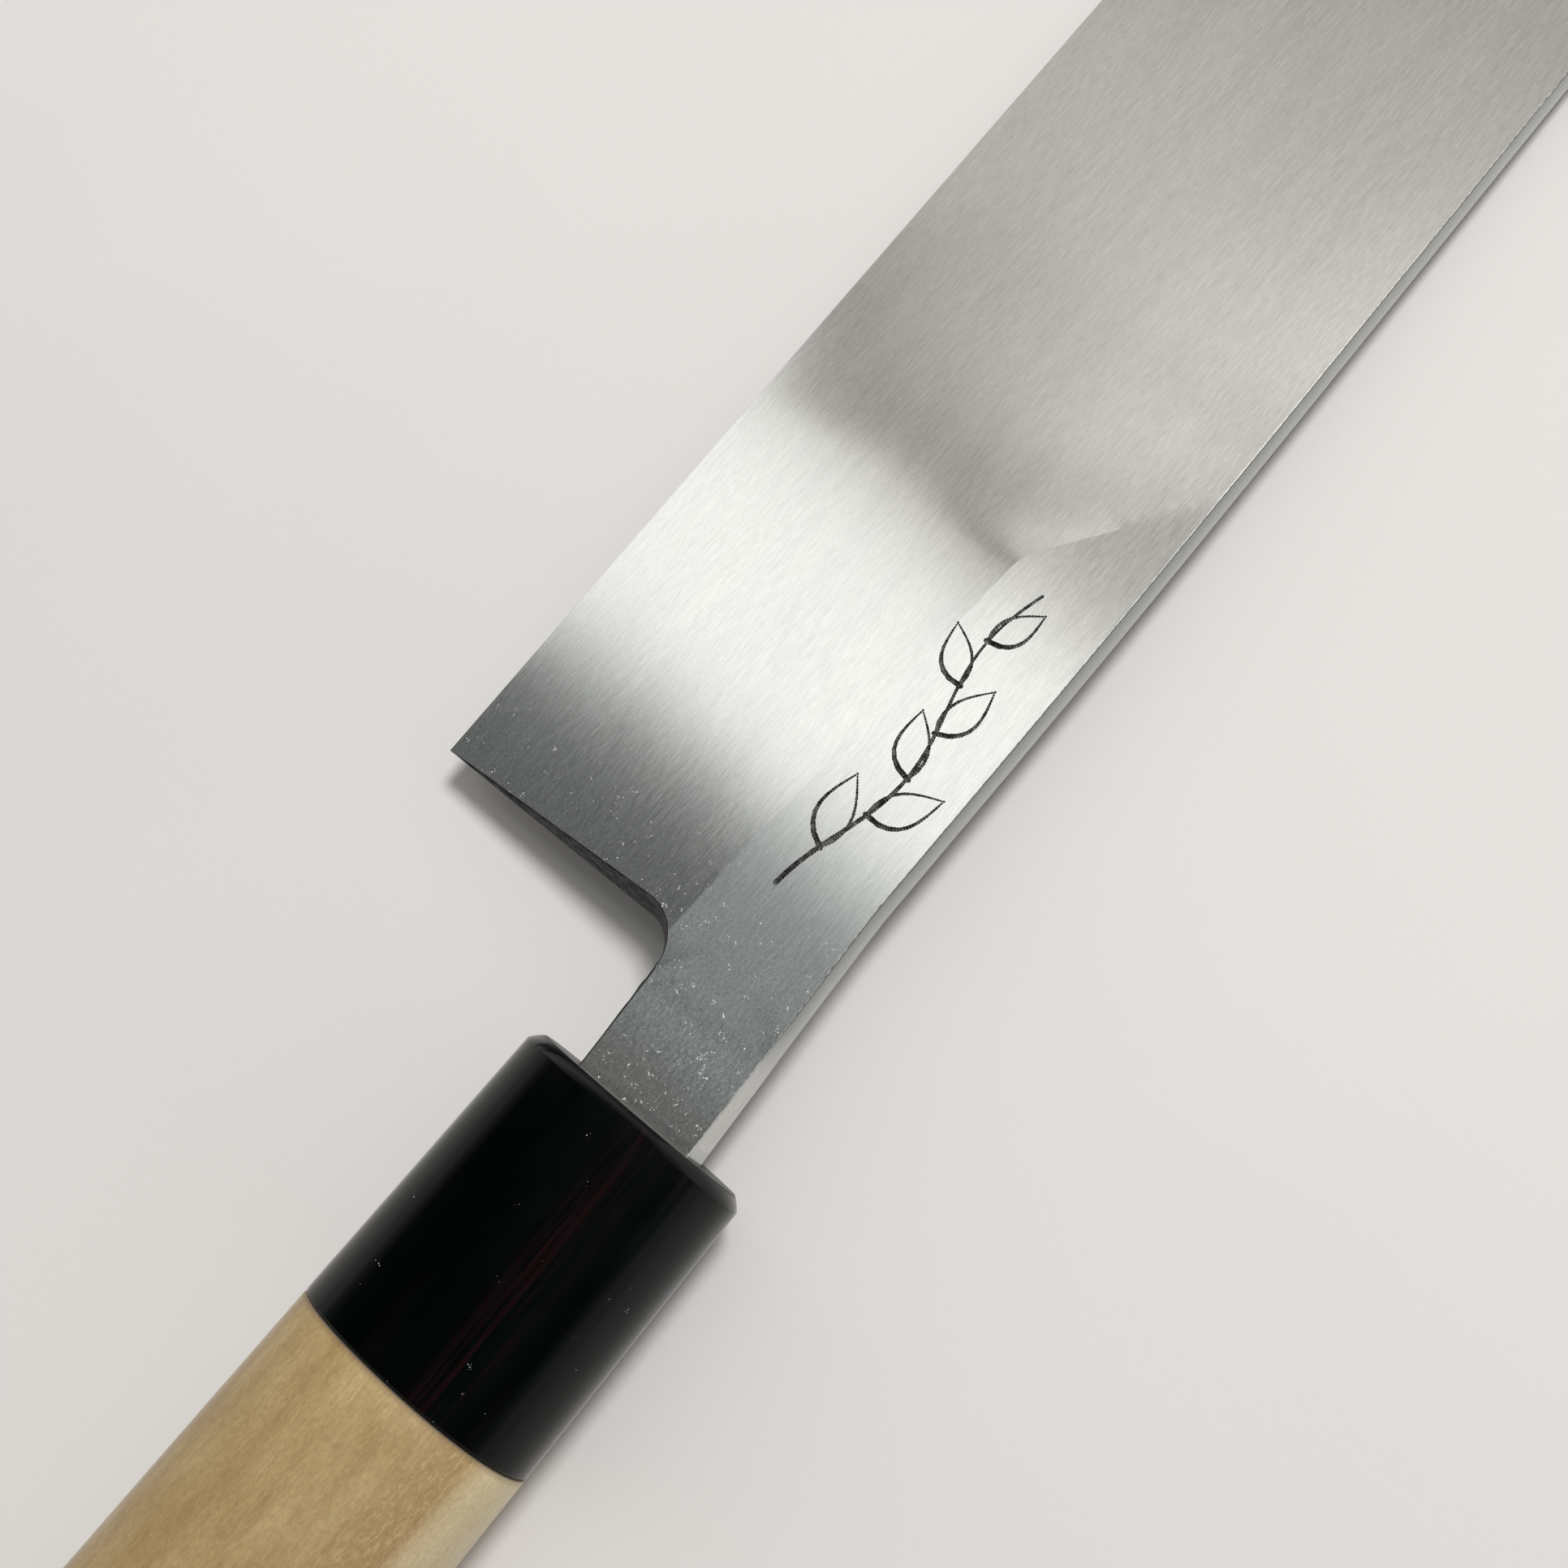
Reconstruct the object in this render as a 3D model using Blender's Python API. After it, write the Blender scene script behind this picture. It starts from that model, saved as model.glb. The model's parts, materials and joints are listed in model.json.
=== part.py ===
"""Eel knife: one forged blade with a hidden tang, a moulded ferrule and a plain wooden handle.

The knife frame has its origin on the handle's axis, in the ferrule's front plane. +X runs to the tip,
+Y to the cutting edge and +Z out of the bevelled face. The finished knife lies on its flat back as a
knife is put down: the tip, the corner of the edge and the ferrule's rim touch the table at Z = 0.
"""

import math

import bmesh
import bpy
from mathutils import Matrix, Vector

# Blade outline, seen on the bevelled face. Distances along the blade count from the heel corner.
BLADE_LENGTH = 0.210  # heel corner to tip
HEEL_SETBACK = 0.0151  # ferrule to heel corner
HEEL_DEPTH = 0.0408  # handle's axis to heel corner
EDGE_RISE = math.radians(0.3)  # the edge draws nearer the axis towards the tip
CHIN_LEAN = math.radians(2.7)  # the chin leans forward from the heel corner
NECK_FILLET = 0.005  # hollow corner between chin and neck
NECK_WIDTH = 0.0140  # at the ferrule
NECK_FLARE = math.radians(3.0)  # the neck's edge side widens towards the chin
SPINE_HEIGHT = 0.0058  # axis to spine where the neck ends
SPINE_START = 0.013  # where the neck's slope meets the spine
SPINE_SWELL = math.radians(0.4)  # the spine rises this much up to its bend
SPINE_BEND = 0.051  # where the spine starts to fall to the tip
SPINE_FALL = math.radians(0.75)
SPINE_BEND_RADIUS = 2.0
TIP_ANGLE = math.radians(45.0)  # slanted front edge against the handle's axis

# Blade section: a flat back, a flat under the spine, and one ground bevel down to the edge
NECK_THICKNESS = 0.0052  # at the ferrule
SPINE_THICKNESS = 0.00453  # at the heel
SPINE_THICKNESS_TIP = 0.0038
EDGE_LAND = 0.0003  # thickness left at the cutting edge
RIDGE_DEPTH_HEEL = 0.0146  # spine to ridge line at the heel
RIDGE_DEPTH_TURN = 0.0120  # spine to ridge line where it turns up
RIDGE_TURN = 0.048  # where the ridge line turns towards the spine
RIDGE_END = 0.0645  # where it runs out on the spine
RIDGE_SOFTNESS = 0.0004  # rounds the turn
TIP_BEVEL = math.radians(7.0)  # grind along the slanted front edge

# Tang, hidden in the handle
TANG_LENGTH = 0.092
TANG_END_WIDTH = 0.006
TANG_END_THICKNESS = 0.003

# Ferrule, a cup with a slot for the tang in its face
FERRULE_LENGTH = 0.032
FERRULE_WIDTH_FRONT = 0.0257
FERRULE_WIDTH_REAR = 0.0271
FERRULE_HEIGHT_FRONT = 0.0213
FERRULE_HEIGHT_REAR = 0.0217
FERRULE_FACE = 0.003
FERRULE_WALL = 0.0022
FERRULE_RIM = 0.0012  # rounding of the front rim

# Wooden handle, flush with the ferrule where they meet
WOOD_LENGTH = 0.106
BUTT_WIDTH = 0.0308
BUTT_HEIGHT = 0.0246
BUTT_ROUNDING = 0.0015
MORTISE_SPARE = 0.002  # burnt-in hole beyond the tang's end

# Handle's oval: a superellipse, a little fuller than an ellipse
OVAL_POWER = 2.15
OVAL_SIDES = 48

# Steps of the curves
ARC_STEPS = 10  # corners of the outline
RIM_STEPS = 4  # rounded rims of ferrule and butt
RIDGE_STEPS = 12  # stations round the ridge line's turn

SHARP_ANGLE = math.radians(30)  # rims steeper than this stay crisp

CLEARANCE = 0.0003  # between pieces that touch
CUT_MARGIN = 0.004  # how far a cutter runs past what it cuts
TIP_CUTTER_SIDE = 0.122  # block that grinds the slanted front edge
WELD = 0.000001  # vertices nearer than this are one

HEEL = Vector((HEEL_SETBACK, HEEL_DEPTH))
TIP_X = HEEL_SETBACK + BLADE_LENGTH


def edge_y(x):
    """Cutting edge's distance from the axis."""
    return HEEL_DEPTH - (x - HEEL_SETBACK) * math.tan(EDGE_RISE)


def spine_y(x):
    """Spine's place across the blade, without the rounding of its bend."""
    bend_x = HEEL_SETBACK + SPINE_BEND
    start_x = HEEL_SETBACK + SPINE_START
    swell = math.tan(SPINE_SWELL) * (min(x, bend_x) - start_x)
    return -SPINE_HEIGHT - swell + math.tan(SPINE_FALL) * max(x - bend_x, 0.0)


def ridge_y(x):
    """Ridge line between the flat and the bevel: nearly along the spine, then slanting up to it."""
    turn_x = HEEL_SETBACK + RIDGE_TURN
    end_x = HEEL_SETBACK + RIDGE_END
    heel_y = spine_y(HEEL_SETBACK) + RIDGE_DEPTH_HEEL
    turn_y = spine_y(turn_x) + RIDGE_DEPTH_TURN
    along = heel_y + (turn_y - heel_y) * (x - HEEL_SETBACK) / RIDGE_TURN
    slant = turn_y + (spine_y(end_x) - turn_y) * (x - turn_x) / (end_x - turn_x)
    gap = abs(along - slant) / RIDGE_SOFTNESS
    blended = min(along, slant) - RIDGE_SOFTNESS * math.log(1.0 + math.exp(-gap))
    return max(blended, spine_y(x) - CUT_MARGIN)


def chin_corner():
    """Where the chin's line would meet the neck's edge side."""
    lean = math.tan(CHIN_LEAN)
    flare = math.tan(NECK_FLARE)
    x = (HEEL.x + lean * (HEEL.y - NECK_WIDTH / 2)) / (1.0 + lean * flare)
    return Vector((x, NECK_WIDTH / 2 + x * flare))


def edge_corner():
    """Where the straight edge meets the slanted front edge."""
    rise = math.tan(EDGE_RISE)
    slant = math.tan(TIP_ANGLE)
    x = (spine_y(TIP_X) + slant * TIP_X - edge_y(0.0)) / (slant - rise)
    return Vector((x, edge_y(x)))


def rounded(before, corner, after, radius):
    """Points of the arc that rounds a corner, from the side of before to the side of after."""
    to_before = (before - corner).normalized()
    to_after = (after - corner).normalized()
    half = to_before.angle(to_after) / 2
    start = corner + to_before * radius / math.tan(half)
    centre = corner + (to_before + to_after).normalized() * radius / math.sin(half)
    turn = math.copysign(math.pi - 2 * half, to_before.cross(to_after))
    spoke = start - centre
    turns = [Matrix.Rotation(-turn * k / ARC_STEPS, 2) for k in range(ARC_STEPS + 1)]
    return [centre + rotation @ spoke for rotation in turns]


def blade_outline():
    """Plan of blade, neck and tang, round from the tang's end along the spine."""
    start_x = HEEL_SETBACK + SPINE_START
    bend_x = HEEL_SETBACK + SPINE_BEND
    spine_start = Vector((start_x, spine_y(start_x)))
    bend = Vector((bend_x, spine_y(bend_x)))
    tip = Vector((TIP_X, spine_y(TIP_X)))
    turn = edge_corner()
    corner = chin_corner()
    neck_edge = Vector((0.0, NECK_WIDTH / 2))
    points = [Vector((-TANG_LENGTH, -TANG_END_WIDTH / 2)), Vector((0.0, -NECK_WIDTH / 2)), spine_start]
    points += rounded(spine_start, bend, tip, SPINE_BEND_RADIUS)
    points += [tip, turn, HEEL]
    points += rounded(HEEL, corner, neck_edge, NECK_FILLET)
    points += [neck_edge, Vector((-TANG_LENGTH, TANG_END_WIDTH / 2))]
    return points


def half_thickness(x):
    """Half the tang's or neck's thickness, which is centred on the axis."""
    if x < 0.0:
        share = -x / TANG_LENGTH
        return (NECK_THICKNESS + (TANG_END_THICKNESS - NECK_THICKNESS) * share) / 2
    share = min(x / (chin_corner().x - NECK_FILLET), 1.0)
    return (NECK_THICKNESS + (SPINE_THICKNESS - NECK_THICKNESS) * share) / 2


def blade_section(x, ground):
    """Closed section across the blade at x, wider than the blade; ground sections carry the bevel."""
    back = -half_thickness(x)
    low = -SPINE_HEIGHT - NECK_WIDTH
    high = HEEL_DEPTH + NECK_WIDTH
    if not ground:
        front = half_thickness(x)
        edge_front = front
    else:
        share = (x - HEEL_SETBACK) / BLADE_LENGTH
        thickness = SPINE_THICKNESS + (SPINE_THICKNESS_TIP - SPINE_THICKNESS) * share
        front = back + thickness
        slope = (thickness - EDGE_LAND) / (edge_y(x) - ridge_y(x))
        edge_front = back + EDGE_LAND - slope * EDGE_LAND
    crease = edge_y(x) + EDGE_LAND
    profile = [(low, back), (high, back), (high, edge_front), (crease, edge_front)]
    profile += [(ridge_y(x), front), (low, front)]
    return [Vector((x, y, z)) for y, z in profile]


def oval_ring(x, width, height):
    """Points of the handle's oval at x, with a flat facet on each of its four sides."""
    ring = []
    for k in range(OVAL_SIDES):
        angle = 2 * math.pi * (k + 0.5) / OVAL_SIDES
        across = math.copysign(abs(math.cos(angle)) ** (2 / OVAL_POWER), math.cos(angle))
        up = math.copysign(abs(math.sin(angle)) ** (2 / OVAL_POWER), math.sin(angle))
        ring.append(Vector((x, across * width / 2, up * height / 2)))
    return ring


def ferrule_size(x):
    """Ferrule's outer width and height at x."""
    share = -x / FERRULE_LENGTH
    width = FERRULE_WIDTH_FRONT + (FERRULE_WIDTH_REAR - FERRULE_WIDTH_FRONT) * share
    height = FERRULE_HEIGHT_FRONT + (FERRULE_HEIGHT_REAR - FERRULE_HEIGHT_FRONT) * share
    return width, height


def wood_size(x):
    """Handle's outer width and height at x, behind the ferrule."""
    share = -(x + FERRULE_LENGTH) / WOOD_LENGTH
    width = FERRULE_WIDTH_REAR + (BUTT_WIDTH - FERRULE_WIDTH_REAR) * share
    height = FERRULE_HEIGHT_REAR + (BUTT_HEIGHT - FERRULE_HEIGHT_REAR) * share
    return width, height


def rounded_end(face_x, inward, radius, size):
    """Rings that round an oval's end, from its face inwards."""
    rings = []
    for k in range(RIM_STEPS + 1):
        angle = math.pi / 2 * k / RIM_STEPS
        x = face_x + inward * radius * (1.0 - math.cos(angle))
        width, height = size(x)
        trim = 2 * radius * (1.0 - math.sin(angle))
        rings.append(oval_ring(x, width - trim, height - trim))
    return rings


def ferrule_rings():
    """Outside of the ferrule, from its face to its rear."""
    rear = oval_ring(-FERRULE_LENGTH, *ferrule_size(-FERRULE_LENGTH))
    return rounded_end(0.0, -1, FERRULE_RIM, ferrule_size) + [rear]


def bore_ring(x, gap):
    """Oval of the ferrule's bore at x, drawn in by gap for the tenon."""
    width, height = ferrule_size(x)
    trim = 2 * (FERRULE_WALL + gap)
    return oval_ring(x, width - trim, height - trim)


def handle_rings():
    """Tenon, shoulder and grip in one run, from the tenon's end to the butt."""
    shoulder_x = -FERRULE_LENGTH - CLEARANCE
    butt_x = -FERRULE_LENGTH - WOOD_LENGTH
    tenon = [bore_ring(-FERRULE_FACE - CLEARANCE, CLEARANCE), bore_ring(shoulder_x, CLEARANCE)]
    grip = [oval_ring(shoulder_x, *wood_size(shoulder_x))]
    return tenon + grip + list(reversed(rounded_end(butt_x, 1, BUTT_ROUNDING, wood_size)))


def tang_ring(x, gap):
    """Rectangle round the tang at x, larger than it by gap on every side."""
    share = -x / TANG_LENGTH
    half_width = (NECK_WIDTH + (TANG_END_WIDTH - NECK_WIDTH) * share) / 2 + gap
    half_height = (NECK_THICKNESS + (TANG_END_THICKNESS - NECK_THICKNESS) * share) / 2 + gap
    corners = ((-1, -1), (1, -1), (1, 1), (-1, 1))
    return [Vector((x, sy * half_width, sz * half_height)) for sy, sz in corners]


def loft(name, rings):
    """Closed mesh object through rings of equally many points, with a flat cap at each end."""
    mesh = bpy.data.meshes.new(name)
    bm = bmesh.new()
    loops = [[bm.verts.new(point) for point in ring] for ring in rings]
    count = len(rings[0])
    for near, far in zip(loops, loops[1:]):
        for k in range(count):
            following = (k + 1) % count
            bm.faces.new((near[k], near[following], far[following], far[k]))
    bm.faces.new(loops[0])
    bm.faces.new(loops[-1])
    bmesh.ops.recalc_face_normals(bm, faces=bm.faces)
    bm.to_mesh(mesh)
    bm.free()
    return bpy.data.objects.new(name, mesh)


def flat_plate(name, outline, half):
    """Mesh plate of the given plan, half thick on each side of Z = 0."""
    curve = bpy.data.curves.new(name, "CURVE")
    curve.dimensions = "2D"
    curve.fill_mode = "BOTH"
    curve.extrude = half
    spline = curve.splines.new("POLY")
    spline.points.add(len(outline) - 1)
    for spot, point in zip(spline.points, outline):
        spot.co = (point.x, point.y, 0.0, 1.0)
    spline.use_cyclic_u = True
    drawn = bpy.data.objects.new(name + "_outline", curve)
    bpy.context.scene.collection.objects.link(drawn)
    depsgraph = bpy.context.evaluated_depsgraph_get()
    mesh = bpy.data.meshes.new_from_object(drawn.evaluated_get(depsgraph))
    bpy.data.objects.remove(drawn)
    bm = bmesh.new()
    bm.from_mesh(mesh)
    bmesh.ops.remove_doubles(bm, verts=bm.verts, dist=WELD)
    bmesh.ops.recalc_face_normals(bm, faces=bm.faces)
    bm.to_mesh(mesh)
    bm.free()
    return bpy.data.objects.new(name, mesh)


def material(name, colour, roughness, metallic):
    """Plain finish of one piece."""
    finish = bpy.data.materials.new(name)
    finish.use_nodes = True
    shader = finish.node_tree.nodes["Principled BSDF"]
    shader.inputs["Base Color"].default_value = (*colour, 1.0)
    shader.inputs["Roughness"].default_value = roughness
    shader.inputs["Metallic"].default_value = metallic
    return finish


def cut(piece, cutter, operation):
    """Boolean of a piece with a cutter, kept live on the piece."""
    modifier = piece.modifiers.new(operation.lower() + "_" + cutter.name, "BOOLEAN")
    modifier.operation = operation
    modifier.object = cutter
    modifier.solver = "EXACT"


def place(obj, collection, pose):
    """Puts an object in its collection, under the empty that lays the knife down."""
    collection.objects.link(obj)
    obj.parent = pose


def hide_cutter(cutter, cutters, pose):
    """Keeps a cutter out of the model."""
    place(cutter, cutters, pose)
    cutter.hide_render = True
    cutter.display_type = "WIRE"


def make_blade(parts, cutters, pose):
    """Blade, neck and tang: the plan's plate, ground by a long wedge and by the bevel at the tip."""
    blade = flat_plate("blade", blade_outline(), NECK_THICKNESS)
    neck_end = chin_corner().x - NECK_FILLET
    turn_x = HEEL_SETBACK + RIDGE_TURN
    end_x = HEEL_SETBACK + RIDGE_END
    before_turn = turn_x - (end_x - turn_x) / 2
    step = (end_x - before_turn) / RIDGE_STEPS
    stations = [before_turn + step * k for k in range(RIDGE_STEPS + 1)]
    rings = [blade_section(x, False) for x in (-TANG_LENGTH - CUT_MARGIN, 0.0, neck_end)]
    grind = [neck_end + CLEARANCE, HEEL_SETBACK, *stations, end_x + CUT_MARGIN, TIP_X + CUT_MARGIN]
    rings += [blade_section(x, True) for x in grind]
    wedge = loft("blade_wedge", rings)
    hide_cutter(wedge, cutters, pose)
    cut(blade, wedge, "INTERSECT")
    tip_grind = tip_cutter()
    hide_cutter(tip_grind, cutters, pose)
    cut(blade, tip_grind, "DIFFERENCE")
    blade.data.materials.append(material("forged_steel", (0.42, 0.42, 0.40), 0.32, 1.0))
    place(blade, parts, pose)
    return blade


def tip_cutter():
    """Block whose underside is the bevel that rises from the slanted front edge."""
    tip = Vector((TIP_X, spine_y(TIP_X)))
    turn = edge_corner()
    along = (turn - tip).normalized()
    run = Vector((along.x, along.y, 0.0))
    flat_inward = Vector((-along.y, along.x, 0.0))
    if flat_inward.x > 0:
        flat_inward.negate()
    rise = (flat_inward * math.cos(TIP_BEVEL) + Vector((0.0, 0.0, math.sin(TIP_BEVEL)))).normalized()
    normal = rise.cross(run).normalized()
    if normal.z < 0:
        normal.negate()
        run.negate()
    bpy.ops.mesh.primitive_cube_add(size=TIP_CUTTER_SIDE)
    cutter = bpy.context.active_object
    cutter.name = "tip_grind"
    for collection in list(cutter.users_collection):
        collection.objects.unlink(cutter)
    middle = (tip + turn) / 2
    level = -half_thickness(TIP_X) + EDGE_LAND
    centre = Vector((middle.x, middle.y, level)) + normal * TIP_CUTTER_SIDE / 2
    cutter.matrix_world = Matrix.Translation(centre) @ Matrix((run, rise, normal)).transposed().to_4x4()
    return cutter


def make_ferrule(parts, cutters, pose, tang_hole):
    """Cup with a closed face: the outside, less the bore and the tang's slot."""
    ferrule = loft("ferrule", ferrule_rings())
    rear = -FERRULE_LENGTH - CUT_MARGIN
    bore = loft("ferrule_bore", [bore_ring(-FERRULE_FACE, 0.0), bore_ring(rear, 0.0)])
    hide_cutter(bore, cutters, pose)
    cut(ferrule, bore, "DIFFERENCE")
    cut(ferrule, tang_hole, "DIFFERENCE")
    ferrule.data.shade_smooth()
    ferrule.data.set_sharp_from_angle(angle=SHARP_ANGLE)
    ferrule.data.materials.append(material("black_plastic", (0.012, 0.013, 0.014), 0.18, 0.0))
    place(ferrule, parts, pose)
    return ferrule


def make_handle(parts, pose, tang_hole):
    """Wooden handle with its tenon in the ferrule and the hole that the tang is driven into."""
    handle = loft("handle", handle_rings())
    cut(handle, tang_hole, "DIFFERENCE")
    handle.data.shade_smooth()
    handle.data.set_sharp_from_angle(angle=SHARP_ANGLE)
    handle.data.materials.append(material("magnolia_wood", (0.62, 0.47, 0.25), 0.6, 0.0))
    place(handle, parts, pose)
    return handle


def lying_rotation():
    """Turn from the knife frame to the table: the back's tip line and the lowest rim point touch it."""
    tip = Vector((TIP_X, spine_y(TIP_X), -half_thickness(TIP_X)))
    turn = edge_corner()
    line = Vector((turn.x, turn.y, tip.z)) - tip
    up = Vector((0.0, 0.0, 1.0))
    towards_handle = up.cross(line).normalized()
    if towards_handle.x > 0:
        towards_handle.negate()
    rim = [point for ring in ferrule_rings() for point in ring]
    slope = max((tip.z - point.z) / (point - tip).dot(towards_handle) for point in rim)
    table_normal = (up + towards_handle * slope).normalized()
    return table_normal.rotation_difference(up)


def settle(pose, pieces):
    """Lays the knife on Z = 0 with the middle of its box over the origin."""
    pose.rotation_mode = "QUATERNION"
    pose.rotation_quaternion = lying_rotation()
    bpy.context.view_layer.update()
    depsgraph = bpy.context.evaluated_depsgraph_get()
    corners = []
    for piece in pieces:
        solid = piece.evaluated_get(depsgraph)
        corners += [solid.matrix_world @ vertex.co for vertex in solid.data.vertices]
    low = Vector([min(corner[axis] for corner in corners) for axis in range(3)])
    high = Vector([max(corner[axis] for corner in corners) for axis in range(3)])
    pose.location = (-(low.x + high.x) / 2, -(low.y + high.y) / 2, -low.z)
    bpy.context.view_layer.update()


def main():
    for obj in list(bpy.data.objects):
        bpy.data.objects.remove(obj)
    scene_root = bpy.context.scene.collection
    parts = bpy.data.collections.new("eel_knife")
    cutters = bpy.data.collections.new("cutters")
    scene_root.children.link(parts)
    scene_root.children.link(cutters)
    pose = bpy.data.objects.new("lying_pose", None)
    parts.objects.link(pose)

    hole_end = -TANG_LENGTH - MORTISE_SPARE
    tang_hole = loft("tang_hole", [tang_ring(CUT_MARGIN, CLEARANCE), tang_ring(hole_end, CLEARANCE)])
    hide_cutter(tang_hole, cutters, pose)
    pieces = [
        make_blade(parts, cutters, pose),
        make_ferrule(parts, cutters, pose, tang_hole),
        make_handle(parts, pose, tang_hole),
    ]
    settle(pose, pieces)


main()
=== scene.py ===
# %% [markdown]
# # An eel knife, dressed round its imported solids
# A knife for opening eels has one bevel, a flat under the spine, a hidden tang, a black ferrule and
# an oval handle of pale wood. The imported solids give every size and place. This lesson rebuilds the
# three pieces with the detail that the eye looks for, and gives each its finish.

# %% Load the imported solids
import json
import math

import bmesh
import bpy
from mathutils import Matrix, Vector, geometry, noise

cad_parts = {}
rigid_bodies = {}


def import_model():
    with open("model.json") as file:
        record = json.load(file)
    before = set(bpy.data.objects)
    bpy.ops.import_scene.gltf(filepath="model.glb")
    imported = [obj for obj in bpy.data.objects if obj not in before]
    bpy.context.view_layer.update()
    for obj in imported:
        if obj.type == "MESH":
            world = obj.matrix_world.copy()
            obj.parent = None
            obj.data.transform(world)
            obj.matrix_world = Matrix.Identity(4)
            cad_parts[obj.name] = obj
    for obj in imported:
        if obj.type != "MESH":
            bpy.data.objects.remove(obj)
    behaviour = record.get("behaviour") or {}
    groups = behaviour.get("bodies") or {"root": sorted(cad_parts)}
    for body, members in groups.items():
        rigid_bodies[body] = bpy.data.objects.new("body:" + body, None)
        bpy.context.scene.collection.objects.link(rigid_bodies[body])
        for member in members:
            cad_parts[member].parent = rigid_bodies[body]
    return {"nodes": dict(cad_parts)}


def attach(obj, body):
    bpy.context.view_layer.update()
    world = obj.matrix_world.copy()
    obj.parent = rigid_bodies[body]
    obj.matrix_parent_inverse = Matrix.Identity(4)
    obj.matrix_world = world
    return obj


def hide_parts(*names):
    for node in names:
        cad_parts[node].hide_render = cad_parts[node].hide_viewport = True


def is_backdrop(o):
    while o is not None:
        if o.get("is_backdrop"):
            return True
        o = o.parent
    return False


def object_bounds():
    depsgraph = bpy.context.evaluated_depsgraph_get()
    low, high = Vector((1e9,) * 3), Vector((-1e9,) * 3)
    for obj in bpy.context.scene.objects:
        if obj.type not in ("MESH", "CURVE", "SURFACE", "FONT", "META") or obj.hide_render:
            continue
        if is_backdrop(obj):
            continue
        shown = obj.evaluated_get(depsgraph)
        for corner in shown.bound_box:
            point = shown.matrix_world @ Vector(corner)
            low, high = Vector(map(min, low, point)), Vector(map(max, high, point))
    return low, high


for thing in list(bpy.data.objects):
    bpy.data.objects.remove(thing)
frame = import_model()
solids_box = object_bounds()


def rounded(points):
    """Points as plain numbers, short enough to print."""
    return [tuple(round(v, 4) for v in point) for point in points]


print("packed solids:", sorted(frame["nodes"]), rounded(solids_box))

# %% [markdown]
# ## The knife's own axes
# A knife lies on a table with its tip and its ferrule touching, so it is tilted a little both ways.
# Shapes are easier to describe along the knife: +X to the tip, +Y to the cutting edge, +Z out of the
# bevelled face. One matrix lays the finished mesh down, so every object stays at the origin.

# %% From the knife's axes to the table
TABLE_UP = Vector((-0.03777412, -0.037774112, 0.998572111))
REST_AT = Vector((-0.043279253, -0.012707191, 0.010614234))
tilt = TABLE_UP.rotation_difference(Vector((0.0, 0.0, 1.0))).to_matrix()
LIE_DOWN = Matrix.Translation(REST_AT) @ tilt.to_4x4()
print("tilt of the knife:", round(math.degrees(TABLE_UP.angle(Vector((0, 0, 1)))), 2), "degrees")

# %% [markdown]
# ## Camera
# The camera was fitted to the outline of the real knife, so it is written as the place and the three
# directions of its body, in the knife's axes. It is set first, because every later look depends on it.

# %% Camera at the photograph's place
def placed(name, data):
    """Object at the origin that shows a mesh, a curve, a camera or a lamp."""
    obj = bpy.data.objects.new(name, data)
    bpy.context.scene.collection.objects.link(obj)
    return obj


CAMERA_AT = Vector((0.0074925, -0.0739504, 0.2301933))
CAMERA_RIGHT = Vector((0.6404262, -0.74141932, -0.20037883))
CAMERA_UP = Vector((0.76102871, 0.5774947, 0.29552524))
CAMERA_BACK = Vector((-0.10339041, -0.34175615, 0.93408413))
camera = placed("camera", bpy.data.cameras.new("camera"))
facing = Matrix((CAMERA_RIGHT, CAMERA_UP, CAMERA_BACK)).transposed().to_4x4()
camera.matrix_world = LIE_DOWN @ Matrix.Translation(CAMERA_AT) @ facing
camera.data.sensor_width = 36.0
camera.data.lens = 58.594
camera.data.clip_start = 0.01
bpy.context.scene.camera = camera
print("camera at", tuple(round(v, 3) for v in camera.matrix_world.translation))

# %% [markdown]
# ## Small helpers for node trees
# Shader and geometry trees are built from the same few moves: add a node, feed a socket with a number
# or with another socket, and stretch one range of numbers onto another. Every helper writes into
# `tree`, whichever tree is being built at that moment.

# %% Node helpers
def feed(socket, value):
    """Sets a socket to a plain value, or links it to another socket."""
    if isinstance(value, bpy.types.NodeSocket):
        tree.links.new(value, socket)
    else:
        socket.default_value = value


def add(kind, inputs=None, **settings):
    """New node with its settings and its fed inputs, named or numbered."""
    node = tree.nodes.new(kind)
    for name, value in settings.items():
        setattr(node, name, value)
    for name, value in (inputs or {}).items():
        feed(node.inputs[name], value)
    return node


def count_nodes(label):
    """Prints how many nodes the tree has by now."""
    print(label + ":", len(tree.nodes), "nodes")


def calc(operation, *values):
    """Result of one Math node."""
    return add("ShaderNodeMath", dict(enumerate(values)), operation=operation).outputs[0]


def times(first, second):
    """First by second, numbers or sockets."""
    return calc("MULTIPLY", first, second)


def plus(first, second):
    """First and second together."""
    return calc("ADD", first, second)


def minus(first, second):
    """First less second."""
    return calc("SUBTRACT", first, second)


def split(vector):
    """The three numbers of a vector."""
    return add("ShaderNodeSeparateXYZ", {0: vector}).outputs


def stretch(value, low, high, to_low=0.0, to_high=1.0, kind="LINEAR"):
    """Carries low..high onto to_low..to_high, held at both ends."""
    inputs = {0: value, 1: low, 2: high, 3: to_low, 4: to_high}
    return add("ShaderNodeMapRange", inputs, interpolation_type=kind).outputs[0]


def ease(value, low, high, to_low=0.0, to_high=1.0):
    """The same with a soft start and end."""
    return stretch(value, low, high, to_low, to_high, "SMOOTHSTEP")


def between(share, first, second):
    """First at share 0, second at share 1."""
    return stretch(share, 0.0, 1.0, first, second)


# %% [markdown]
# ## The blade's plan
# The real blade is forged, cut to its outline and ground. The outline runs from the tang's end along
# the spine to the tip, down the slanted front, back along the edge, and up the chin into the neck.
# Each point also remembers which stretch of the outline it belongs to. All lengths are in metres.

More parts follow.
